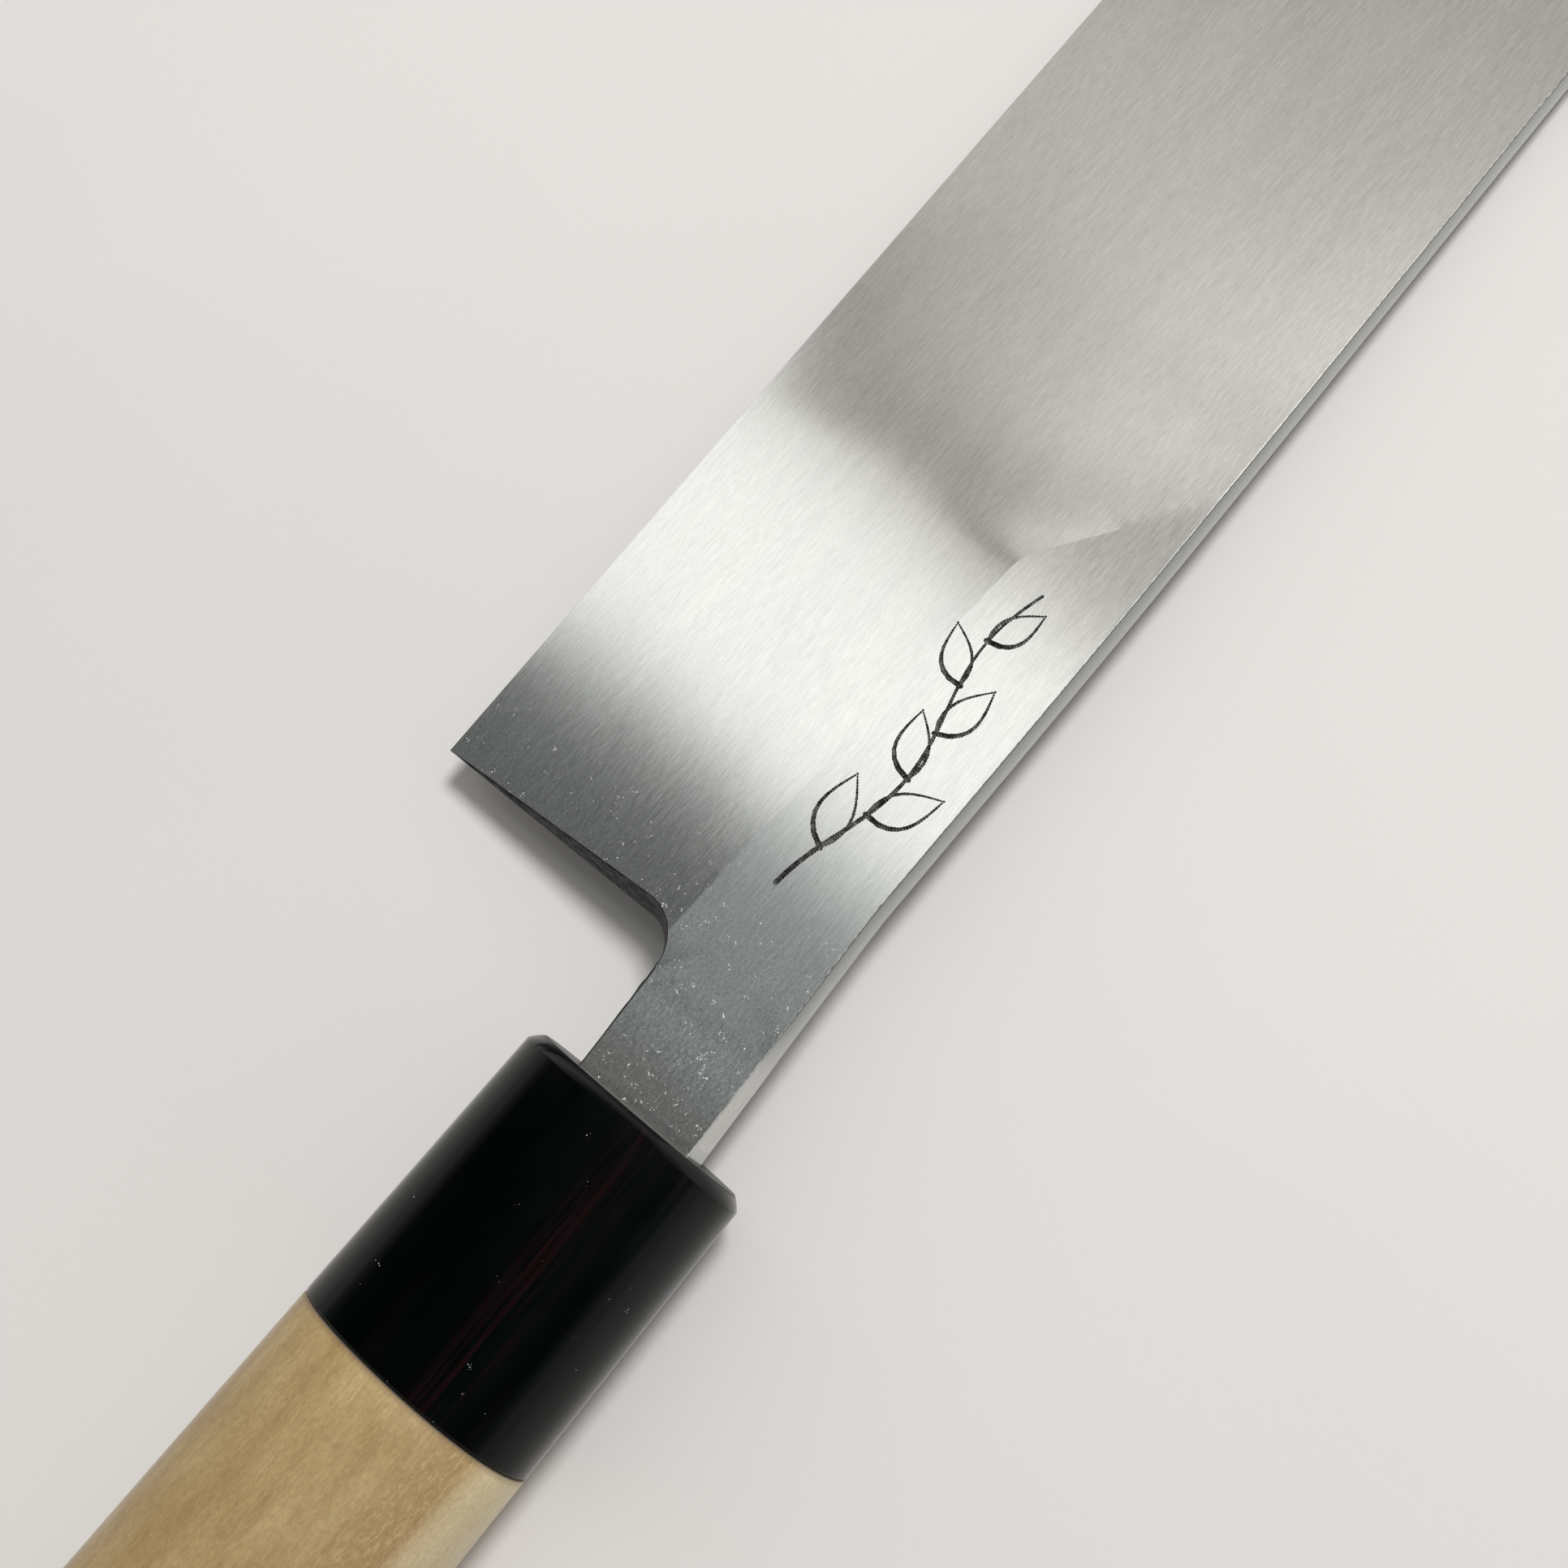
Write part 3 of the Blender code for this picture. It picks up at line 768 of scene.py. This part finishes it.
def inner_oval(name, front_x, rear_x, trim, rim):
    """Oval body inside the ferrule: its bore, or the wood's tenon."""
    front, rear = ferrule_size(front_x, trim), ferrule_size(rear_x, trim)
    return oval_body(name, front_x, rear_x, front, rear, (rim, 0.0), rows=21)


def tang_hole(name):
    """Tapering square hole round the tang."""
    bm = bmesh.new()
    rings = []
    for x in (HOLE_AHEAD, -TANG_LENGTH - HOLE_PAST):
        share = -x / TANG_LENGTH
        half_y = mix(NECK_HALF, TANG_END_HALF, share) + GAP
        half_z = mix(NECK_THIN, TANG_THIN, share) + GAP
        rings.append([bm.verts.new((x, sy * half_y, sz * half_z)) for sy, sz in SQUARE])
    for k in range(4):
        bm.faces.new((rings[0][k], rings[0][(k + 1) % 4], rings[1][(k + 1) % 4], rings[1][k]))
    bm.faces.new(rings[0])
    bm.faces.new(rings[1])
    return placed(name, closed_mesh(bm, name))


raw_ferrule = oval_body("cup", 0.0, -FERRULE, FERRULE_FRONT, FERRULE_REAR, FERRULE_RIMS, flatness=0.7)
boolean(raw_ferrule, inner_oval("bore", -FACE, -FERRULE - BORE_PAST, 2 * WALL, 0.0))
boolean(raw_ferrule, tang_hole("slot"))
raw_handle = oval_body("grip", -FERRULE - GAP, -FERRULE - WOOD, FERRULE_REAR, BUTT, GRIP_RIMS, flatness=0.3)
tenon = inner_oval("tenon", -FACE - GAP, -FERRULE - TENON_PAST, 2 * (WALL + GAP), TENON_RIM)
boolean(raw_handle, tenon, "UNION")
boolean(raw_handle, tang_hole("mortise"))
for piece in (raw_ferrule, raw_handle):
    print(piece.name, len(piece.data.polygons), "faces")

# %% [markdown]
# ## Lay the pieces down
# Each mesh is carried from the knife's axes to the table, shaded smooth with its rims kept crisp, and
# given a map of the grinding direction, which the satin steel needs.

# %% Finished pieces
GRAIN_SCALE = 10.0


def settle(obj, name, sharp, materials):
    """Final piece: mesh carried to the table, creases marked, finishes assigned."""
    mesh = obj.data
    grain = mesh.uv_layers.new(name="grain")
    for loop in mesh.loops:
        x, y, z = mesh.vertices[loop.vertex_index].co
        grain.data[loop.index].uv = (x * GRAIN_SCALE, (y + z) * GRAIN_SCALE)
    mesh.transform(LIE_DOWN)
    numbers = [face.material_index for face in mesh.polygons]
    mesh.materials.clear()
    for material in materials:
        mesh.materials.append(material)
    mesh.polygons.foreach_set("material_index", numbers)
    mesh.shade_smooth()
    mesh.set_sharp_from_angle(angle=math.radians(sharp))
    obj.name = name
    mesh.name = name
    return obj


black_plastic = bpy.data.materials.new("ferrule_black")
pale_wood = bpy.data.materials.new("grip_wood")
bpy.data.materials.remove(oval_material)
blade = settle(raw_blade, "blade_steel_body", 3.5, steels)
ferrule = settle(raw_ferrule, "ferrule_body", 28.0, [black_plastic])
handle = settle(raw_handle, "handle_body", 28.0, [pale_wood])
for piece in (blade, ferrule, handle):
    print(piece.name, [round(v, 4) for v in piece.dimensions])

# %% [markdown]
# ## Patterns in the knife's millimetres
# A pattern sits still on a piece when it reads Object coordinates. A Mapping node undoes the tilt and
# turns metres into millimetres, so every later number is a length that could be read off a ruler.

# %% Coordinates for the finishes
def knife_mm():
    """The knife's own millimetres at the shaded point."""
    place, turn = add("ShaderNodeTexCoord").outputs["Object"], tilt.transposed()
    return add("ShaderNodeMapping", {
        "Vector": place, "Scale": (MM, MM, MM), "Rotation": turn.to_euler(),
        "Location": turn @ REST_AT * -MM}).outputs[0]


def scaled(vector, scale, shift=(0.0, 0.0, 0.0)):
    """Coordinates stretched along the axes and shifted."""
    return add("ShaderNodeVectorMath", {0: vector, 1: scale, 2: shift}, operation="MULTIPLY_ADD").outputs[0]


def cloud(vector, scale, detail=2.0, rough=0.5, shift=(0.0, 0.0, 0.0), warp=0.0):
    """Noise between about 0.25 and 0.75."""
    spot = scaled(vector, scale, shift)
    inputs = {"Vector": spot, "Scale": 1.0, "Detail": detail, "Roughness": rough, "Distortion": warp}
    return add("ShaderNodeTexNoise", inputs).outputs[0]


def blend(share, first, second, mode="MIX"):
    """Mixes two colours, the second by its share."""
    node = add("ShaderNodeMix", data_type="RGBA", blend_type=mode)
    feed(node.inputs[0], share)
    for number, colour in ((6, first), (7, second)):
        feed(node.inputs[number], (*colour, 1.0) if isinstance(colour, tuple) else colour)
    return node.outputs[2]


def tinted(colour, tint):
    """A colour multiplied by another."""
    return blend(1.0, colour, tint, "MULTIPLY")


def start_material(material, **constants):
    """Principled shader with its constant sockets set, named by label."""
    material.use_nodes = True
    tree = material.node_tree
    shader = tree.nodes["Principled BSDF"]
    for label, value in constants.items():
        shader.inputs[label.replace("_", " ")].default_value = value
    return tree, shader


def dress(**inputs):
    """Feeds inputs of the material's shader, named by label."""
    for label, value in inputs.items():
        feed(shader.inputs[label.replace("_", " ")], value)


def bump(height, distance, strength=1.0):
    """Fine relief, its height in units of the given distance in metres."""
    node = add("ShaderNodeBump", {"Height": height, "Distance": distance, "Strength": strength})
    dress(Normal=node.outputs[0])


def specks(vector, scale, size, share, shift=(0.0, 0.0, 0.0), curl=0.0):
    """1 inside scattered flecks: cells per millimetre, a fleck's size and the share of cells used."""
    ripple = add("ShaderNodeTexNoise", {"Vector": vector, "Scale": 3.5, "Detail": 1.0}).outputs["Color"]
    spot = scaled(ripple, (curl, curl, curl), scaled(vector, (scale, scale, scale), shift))
    cells = add("ShaderNodeTexVoronoi", {"Vector": spot, "Scale": 1.0, "Randomness": 1.0})
    dot = calc("LESS_THAN", cells.outputs["Distance"], size)
    pick = add("ShaderNodeSeparateColor", {0: cells.outputs["Color"]})
    return times(dot, calc("LESS_THAN", pick.outputs[0], share))


# %% [markdown]
# ## Satin steel
# The blade was ground and polished along its length, so it mirrors sharply along the blade and spreads
# light across it. An anisotropic metal does this: its tangent follows the grain map, turned a quarter
# so that the wide side of the gloss lies across. Fine long noises give the hairlines.

# %% Patterns of the satin steel
tree, shader = start_material(steels[SATIN], Anisotropic=0.8, Anisotropic_Rotation=0.25)
mm = knife_mm()
x = split(mm)[0]
hair = cloud(mm, (0.42, 5.2, 0.6), 3.0, 0.65)
fine = cloud(mm, (1.3, 10.0, 0.8), 2.0, 0.6, (3.0, 7.0, 1.0))
broad = cloud(mm, (0.05, 0.35, 0.3), 2.0, 0.5, (9.0, 2.0, 5.0))
grain = plus(times(hair, 0.6), times(fine, 0.4))
wobble = times(cloud(mm, (0.25, 0.25, 0.25), 2.0), 6.0)
neck = ease(plus(x, wobble), 12.5, 20.0, 1.0, 0.0)
mottle = cloud(mm, (1.5, 4.2, 1.5), 5.0, 0.75, (1.0, 4.0, 2.0))
count_nodes("patterns of the satin steel")

# %% Colour, gloss and relief of the blade's faces
bright = blend(stretch(grain, 0.35, 0.65), (0.565, 0.565, 0.555), (0.70, 0.70, 0.69))
bright = blend(stretch(broad, 0.3, 0.7), bright, tinted(bright, (0.95, 0.95, 0.96)))
dull = blend(stretch(mottle, 0.42, 0.6), (0.272, 0.284, 0.288), (0.380, 0.396, 0.402))
near_ferrule = ease(plus(x, wobble), 6.0, 10.0, 1.0, 0.0)
dull = blend(times(near_ferrule, 0.5), dull, (0.262, 0.246, 0.224))
colour = blend(neck, bright, dull)
heel_zone = ease(x, 12.0, 30.0, 1.0, 0.0)
grit = cloud(mm, (3.2, 6.5, 3.0), 3.0, 0.7, (5.0, 2.0, 8.0))
gritty = blend(stretch(grit, 0.35, 0.65), (0.84, 0.84, 0.85), (1.30, 1.30, 1.30))
colour = blend(heel_zone, colour, tinted(colour, gritty))
clusters = stretch(cloud(mm, (0.3, 0.3, 0.3), 2.0, 0.6, (6.0, 4.0, 1.0)), 0.4, 0.62, 0.1, 1.0)
often = times(clusters, stretch(x, 11.0, 19.0, 0.6, 0.2))
small = specks(mm, 1.3, 0.16, often, curl=1.6)
large = specks(mm, 0.7, 0.13, often, (5.0, 3.0, 1.0), 1.8)
flecks = times(calc("MAXIMUM", small, large), heel_zone)
dress(Base_Color=blend(times(flecks, 0.85), colour, (0.86, 0.87, 0.86)), Metallic=minus(1.0, flecks))
gloss = stretch(grain, 0.3, 0.7, 0.115, 0.145)
gloss = plus(gloss, times(neck, 0.13))
dress(Roughness=plus(gloss, times(flecks, 0.4)))
bump(plus(grain, times(times(mottle, neck), 0.5)), 0.0000022)
dress(Tangent=add("ShaderNodeTangent", direction_type="UV_MAP", uv_map="grain").outputs[0])
count_nodes("satin steel")

# %% [markdown]
# ## Forged skin
# The neck's sides and the chin are never polished: they keep the dark scale of the forge, in blotches.
# On the neck's wide eased rim the same dark finish is painted shade.
# The tang, which shows only when the knife is taken apart, is plain filed steel.

# %% Tang, neck sides and chin
tree, shader = start_material(steels[TANG], Metallic=1.0)
mm = knife_mm()
patches = cloud(mm, (0.5, 0.9, 0.9), 4.0, 0.65, (2.0, 8.0, 3.0))
lines = cloud(mm, (0.4, 6.0, 6.0), 3.0, 0.6)
colour = blend(stretch(patches, 0.38, 0.62), (0.50, 0.51, 0.50), (0.66, 0.67, 0.66))
dress(Base_Color=colour, Roughness=stretch(patches, 0.3, 0.7, 0.2, 0.3))
bump(plus(patches, lines), 0.00001)
count_nodes("tang")

tree, shader = start_material(steels[FORGED], Specular_IOR_Level=0.15)
mm = knife_mm()
scale = cloud(mm, (0.9, 0.9, 1.3), 5.0, 0.75, (7.0, 1.0, 3.0))
pits = cloud(mm, (3.0, 3.0, 3.0), 3.0, 0.6)
# Dark forge scale in blotches; on the neck's wide eased rim this darkness is painted shade.
colour = blend(stretch(scale, 0.44, 0.62), (0.006, 0.0056, 0.005), (0.045, 0.043, 0.040))
dress(Base_Color=colour, Roughness=stretch(scale, 0.35, 0.65, 0.62, 0.42))
bump(plus(scale, pits), 0.00003)
count_nodes("forge scale")

# %% [markdown]
# ## Ground spine
# The spine was ground square across and then wiped along with a finer stone, so it is lined along its
# length; one long noise draws the stone's lines. Bands in the knife's own height make its colour darker
# towards the front face and lighter towards the back, and darken its rim at the back, a wider bevel that
# turns away from the light, with painted shade. Near the neck it is painted lighter, a painted reflection.

# %% Steel of the spine
tree, shader = start_material(steels[SPINE], Metallic=1.0)
mm = knife_mm()
x, _, z = split(mm)
lines = cloud(mm, (0.12, 5.0, 5.0), 3.0, 0.65, (3.0, 1.0, 4.0))
# Darker towards the front face, lighter towards the back.
colour = blend(stretch(z, 2.2, -1.6), (0.22, 0.23, 0.22), (0.56, 0.575, 0.56))
# Painted shade: a dark band on the wider bevel of the rim at the back.
colour = blend(stretch(z, -1.6, -1.9), colour, (0.25, 0.255, 0.25))
# Painted reflection: lighter near the neck, where the spine mirrors the bright paper.
colour = blend(ease(x, 8.0, 16.0, 1.0, 0.0), colour, (0.68, 0.68, 0.655))
colour = blend(stretch(lines, 0.35, 0.65, 0.3, 0.0), colour, (0.20, 0.20, 0.195))
dress(Base_Color=colour, Roughness=stretch(lines, 0.3, 0.7, 0.2, 0.3))
bump(lines, 0.000008)
count_nodes("spine")

# %% [markdown]
# ## Torn steel in the strokes
# A chisel tears the steel it pushes aside, so the bites are duller than the satin round them, and their
# colour is darker, painted shade in the cuts. The faces that the boolean left there carry this finish,
# and so does the narrow rim of the spine that was eased with a stone.

# %% Steel of the chiselled strokes
tree, shader = start_material(steels[CHISELLED], Metallic=1.0)
torn = cloud(knife_mm(), (1.8, 1.8, 1.8), 4.0, 0.7)
# Painted shade: the cuts are coloured darker than the satin steel.
colour = blend(stretch(torn, 0.4, 0.66), (0.075, 0.075, 0.075), (0.36, 0.36, 0.355))
dress(Base_Color=colour, Roughness=stretch(torn, 0.3, 0.7, 0.3, 0.5))
count_nodes("chiselled steel")

# %% [markdown]
# ## Black ferrule
# The ferrule is moulded and polished black plastic that imitates horn: nearly black, with faint red
# and green streaks along it, a clear gloss and a few grains of dust. A reddish band along one side is a
# painted reflection.

# %% Black plastic
tree, shader = start_material(black_plastic, IOR=1.42, Specular_IOR_Level=0.3)
mm = knife_mm()
x, y, _ = split(mm)
red = ease(cloud(mm, (0.03, 0.35, 0.35), 3.0, 0.6, (1.0, 3.0, 2.0)), 0.52, 0.72)
green = ease(cloud(mm, (0.02, 0.2, 0.2), 2.0, 0.5, (5.0, 9.0, 4.0)), 0.5, 0.75)
thread = stretch(cloud(mm, (0.05, 1.6, 1.6), 2.0, 0.6, (2.0, 2.0, 7.0)), 0.45, 0.65)
# Painted reflection: a band along one side of the ferrule, tinted like the red streaks.
painted_reflection_band = ease(calc("ABSOLUTE", plus(y, 5.4)), 0.8, 3.2, 1.0, 0.0)
colour = blend(green, (0.0003, 0.0008, 0.0008), (0.0007, 0.0022, 0.0020))
colour = blend(times(calc("MULTIPLY_ADD", red, 0.25, painted_reflection_band), thread), colour, (0.0085, 0.0026, 0.0032))
large = specks(mm, 0.45, 0.05, 0.16, (3.0, 1.0, 2.0), 0.9)
dust = calc("MAXIMUM", large, specks(mm, 0.9, 0.07, 0.07, curl=1.2))
dress(Base_Color=blend(dust, colour, (0.55, 0.55, 0.53)))
face = stretch(x, -0.4, -0.05)
smudge = cloud(mm, (0.12, 0.3, 0.3), 3.0, 0.6)
gloss = plus(stretch(smudge, 0.35, 0.7, 0.10, 0.17), times(face, 0.22))
dress(Roughness=plus(gloss, times(dust, 0.6)))
bump(cloud(mm, (0.1, 1.2, 1.2), 2.0, 0.5), 0.000006)
count_nodes("black plastic")

# %% [markdown]
# ## Pale handle wood
# Magnolia is a close-grained pale wood. Its rings come from a tree much thicker than the handle, so
# they pass through it as gently curved sheets that show as long streaks, darker in the heartwood and
# nearly white in the sapwood. All of it is solid texture, so the butt shows the same rings end on.

# %% Rings and streaks of the wood
tree, shader = start_material(pale_wood, IOR=1.46, Sheen_Weight=0.25, Sheen_Roughness=0.4)
mm = knife_mm()
x, y, z = split(mm)
drift = cloud(mm, (0.008, 0.06, 0.06), 3.0, 0.55, (4.0, 1.0, 9.0))
wander = times(minus(drift, 0.5), 9.0)
off_y = plus(plus(y, times(x, 0.045)), 46.0)
off_z = plus(z, 30.0)
from_pith = calc("SQRT", plus(times(off_y, off_y), times(off_z, off_z)))
RING_WIDTH = 3.1
rings = calc("FRACT", calc("DIVIDE", plus(from_pith, wander), RING_WIDTH))
late = times(ease(rings, 0.55, 0.97), stretch(rings, 0.97, 1.0, 1.0, 0.0))
streak = ease(cloud(mm, (0.03, 0.3, 0.3), 5.0, 0.7, (2.0, 5.0, 1.0)), 0.46, 0.68)
fibre = cloud(mm, (0.09, 5.0, 5.0), 3.0, 0.65, (7.0, 2.0, 3.0))
flame = cloud(mm, (0.12, 0.3, 0.3), 6.0, 0.75, (1.0, 8.0, 4.0))
colour = blend(stretch(flame, 0.35, 0.65), (0.345, 0.235, 0.098), (0.455, 0.335, 0.165))
colour = blend(times(late, 0.16), colour, (0.30, 0.19, 0.07))
colour = blend(times(streak, 0.42), colour, (0.28, 0.165, 0.065))
count_nodes("rings and streaks")

# %% Sapwood, pores, painted light near the ferrule, and the joint
sap_edge = plus(y, times(minus(drift, 0.5), 8.0))
sap = ease(sap_edge, -12.2, -9.6, 1.0, 0.0)
ripple = stretch(cloud(mm, (0.9, 2.6, 2.6), 3.0, 0.6, (6.0, 1.0, 2.0), 0.6), 0.5, 0.62)
figured = times(ease(sap_edge, -4.5, -7.5), minus(1.0, sap))
brown = blend(ripple, (0.335, 0.215, 0.100), (0.47, 0.33, 0.18))
colour = blend(times(figured, 0.6), colour, brown)
colour = blend(times(sap, 0.75), colour, (0.60, 0.51, 0.33))
meal = stretch(cloud(mm, (1.5, 3.2, 3.2), 4.0, 0.75, (8.0, 3.0, 5.0)), 0.3, 0.7)
colour = blend(meal, tinted(colour, (0.82, 0.80, 0.76)), tinted(colour, (1.16, 1.16, 1.18)))
colour = blend(stretch(fibre, 0.55, 0.75, 0.0, 0.35), colour, tinted(colour, (0.62, 0.52, 0.42)))
pores = cloud(mm, (0.3, 9.0, 9.0), 2.0, 0.5, (3.0, 3.0, 8.0))
colour = blend(stretch(pores, 0.6, 0.72, 0.0, 0.3), colour, (0.38, 0.25, 0.12))
# Painted light: the wood is lighter near the ferrule, lifting the shade there.
colour = blend(stretch(x, -44.0, -35.0, 0.0, 0.55), colour, tinted(colour, (1.12, 1.13, 1.13)))
joint = ease(x, -32.9, -32.35, 0.0, 0.45)
colour = blend(joint, colour, (0.16, 0.1, 0.05))
dress(Base_Color=colour, Roughness=stretch(fibre, 0.3, 0.7, 0.5, 0.62))
bump(minus(fibre, times(pores, 0.6)), 0.00003)
count_nodes("wood")

# %% [markdown]
# ## Floor and light
# The knife lies on pale paper in a plain studio. Polished steel shows whatever stands over it, so the
# world is drawn by direction: dark straight overhead, a soft white panel whose reflection makes the
# bright band on the blade, and a plain pale room round them that fills the shadows. A direction's u
# and v say how far it leans towards the tip and the edge on its way up.

# %% Paper floor
FLOOR_HALF = 3.0
floor_mesh = bpy.data.meshes.new("floor")
floor_corners = [(FLOOR_HALF * x, FLOOR_HALF * y, 0.0) for x, y in SQUARE]
floor_mesh.from_pydata(floor_corners, [], [(0, 1, 2, 3)])
floor = placed("floor", floor_mesh)
paper = bpy.data.materials.new("paper")
floor_mesh.materials.append(paper)
tree, shader = start_material(paper, Roughness=0.75)
place = add("ShaderNodeTexCoord").outputs["Object"]
tooth = cloud(place, (900.0, 900.0, 900.0), 3.0, 0.6)
shade = cloud(place, (9.0, 9.0, 9.0), 3.0, 0.5)
colour = blend(stretch(shade, 0.3, 0.7), (0.775, 0.76, 0.75), (0.805, 0.79, 0.78))
# Painted shade: the paper is a little darker towards -X, past the handle's end.
painted_shade_behind = ease(split(place)[0], -0.08, 0.06, 1.0, 0.0)
dress(Base_Color=blend(painted_shade_behind, colour, tinted(colour, (0.93, 0.93, 0.935))))
bump(tooth, 0.00004, 0.6)
floor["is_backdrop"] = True
print("floor:", 2 * FLOOR_HALF, "m wide")

# %% World drawn by direction
world = bpy.data.worlds.new("studio")
bpy.context.scene.world = world
world.use_nodes = True
tree = world.node_tree
tree.nodes.clear()
aim = {"Vector": add("ShaderNodeTexCoord").outputs["Generated"], "Rotation": tilt.transposed().to_euler()}
level = add("ShaderNodeMapping", aim, vector_type="VECTOR")
along, across, up = split(level.outputs[0])
LOWEST = 0.04
height = calc("MAXIMUM", up, LOWEST)
u = calc("DIVIDE", along, height)
v = calc("DIVIDE", across, height)
count_nodes("directions")

# %% Brightness of what the steel mirrors
def window(value, low, high, soft_low, soft_high):
    """1 between low and high, falling to 0 over the soft widths on each side."""
    rise = ease(value, low - soft_low / 2, low + soft_low / 2)
    fall = ease(value, high - soft_high / 2, high + soft_high / 2, 1.0, 0.0)
    return times(rise, fall)


# The panel begins and ends at two borders in u, which lean with v.
low_border = minus(u, stretch(v, 0.31, 0.74, 0.006, 0.033))
low_border = plus(low_border, stretch(v, 0.8, 0.9, 0.0, 0.022))
high_border = minus(u, times(calc("MINIMUM", v, 0.78), 0.115))
overhead = times(window(u, -0.36, 0.84, 0.14, 0.12), window(v, -2.6, 2.6, 0.8, 0.8))
# The room round it is brighter low down, and has one weak light ahead.
from_top = calc("SQRT", plus(times(u, u), times(v, v)))
ambient = ease(from_top, 1.1, 2.6, 0.22, 0.15)
ambient = plus(ambient, ease(from_top, 2.6, 6.0, 0.0, 0.35))
key = times(window(u, 0.95, 1.7, 0.2, 0.6), window(v, -0.8, 0.9, 0.5, 0.5))
around = calc("MULTIPLY_ADD", key, 0.4, ambient)
# From the first border on: dark, then the panel, then what lies past it.
dip = stretch(v, 0.3, 0.9, 0.56, 0.40)
peak = stretch(v, 0.6, 0.76, 0.94, 0.60)
past = between(ease(u, 0.325, 0.425), dip, peak)
past = between(ease(u, 0.43, 0.62), past, 0.56)
rise = ease(low_border, stretch(v, 0.31, 0.74, 0.066, 0.079), 0.132, 0.0, 1.0)
fall = ease(high_border, 0.174, 0.24, 0.0, 1.0)
dark = plus(stretch(v, 0.31, 0.72, 0.34, 0.08), stretch(v, 0.72, 0.82, 0.0, 0.07))
dark = times(dark, stretch(u, -0.045, 0.026, 0.15, 1.05))
light = between(overhead, around, between(fall, between(rise, dark, 1.48), past))
count_nodes("brightness")

# %% Colour of the light, and what the camera sees
to_camera = add("ShaderNodeLightPath").outputs["Is Camera Ray"]
tint = blend(rise, (0.93, 1.0, 0.975), (1.0, 1.0, 0.965))
tint = blend(fall, tint, (1.0, 0.965, 0.89))
tint = blend(overhead, (1.0, 0.985, 0.965), tint)
lit = add("ShaderNodeBackground", {"Color": tint, "Strength": light})
seen = add("ShaderNodeBackground", {"Color": (0.76, 0.755, 0.74, 1.0), "Strength": 1.0})
choose = add("ShaderNodeMixShader", {0: to_camera, 1: lit.outputs[0], 2: seen.outputs[0]})
add("ShaderNodeOutputWorld", {0: choose.outputs[0]})
count_nodes("world")

# %% [markdown]
# ## The lamp
# The shadow beside the blade is short and its border is soft: the light that casts it is large and
# stands high, towards the tip and a little past the spine. A disc three metres away gives that border,
# and far enough from the paper it lights all of it evenly.

# %% Soft lamp above the tip
LAMP_HEADING = Vector((0.45, -0.17, 1.0))
LAMP_AWAY, LAMP_WIDE, LAMP_POWER = 3.0, 0.72, 62.0
lamp = placed("lamp", bpy.data.lights.new("lamp", "AREA"))
lamp.data.shape, lamp.data.size, lamp.data.energy = "DISK", LAMP_WIDE, LAMP_POWER
lamp.data.color = (1.0, 0.99, 0.97)
lamp_place = LIE_DOWN @ (LAMP_HEADING.normalized() * LAMP_AWAY)
lamp.matrix_world = Matrix.Translation(lamp_place) @ lamp_place.to_track_quat("Z", "Y").to_matrix().to_4x4()
print("lamp at", tuple(round(v, 2) for v in lamp_place))

# %% [markdown]
# ## Hand the pieces over
# Each piece rides on the knife's one body and stands for its imported solid.

# %% Riding and replacing
for piece, node, slot in (
    (blade, "blade", "blade_steel"),
    (ferrule, "ferrule", "ferrule_plastic"),
    (handle, "handle", "handle_wood"),
):
    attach(piece, "root")
    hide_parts(node)
    print(piece.name, "stands for", node)
bpy.context.scene.view_settings.view_transform = "Standard"
shown_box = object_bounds()
sizes = {"cad": [list(corner) for corner in solids_box], "visual": [list(corner) for corner in shown_box]}
print("visual box:", rounded(shown_box))
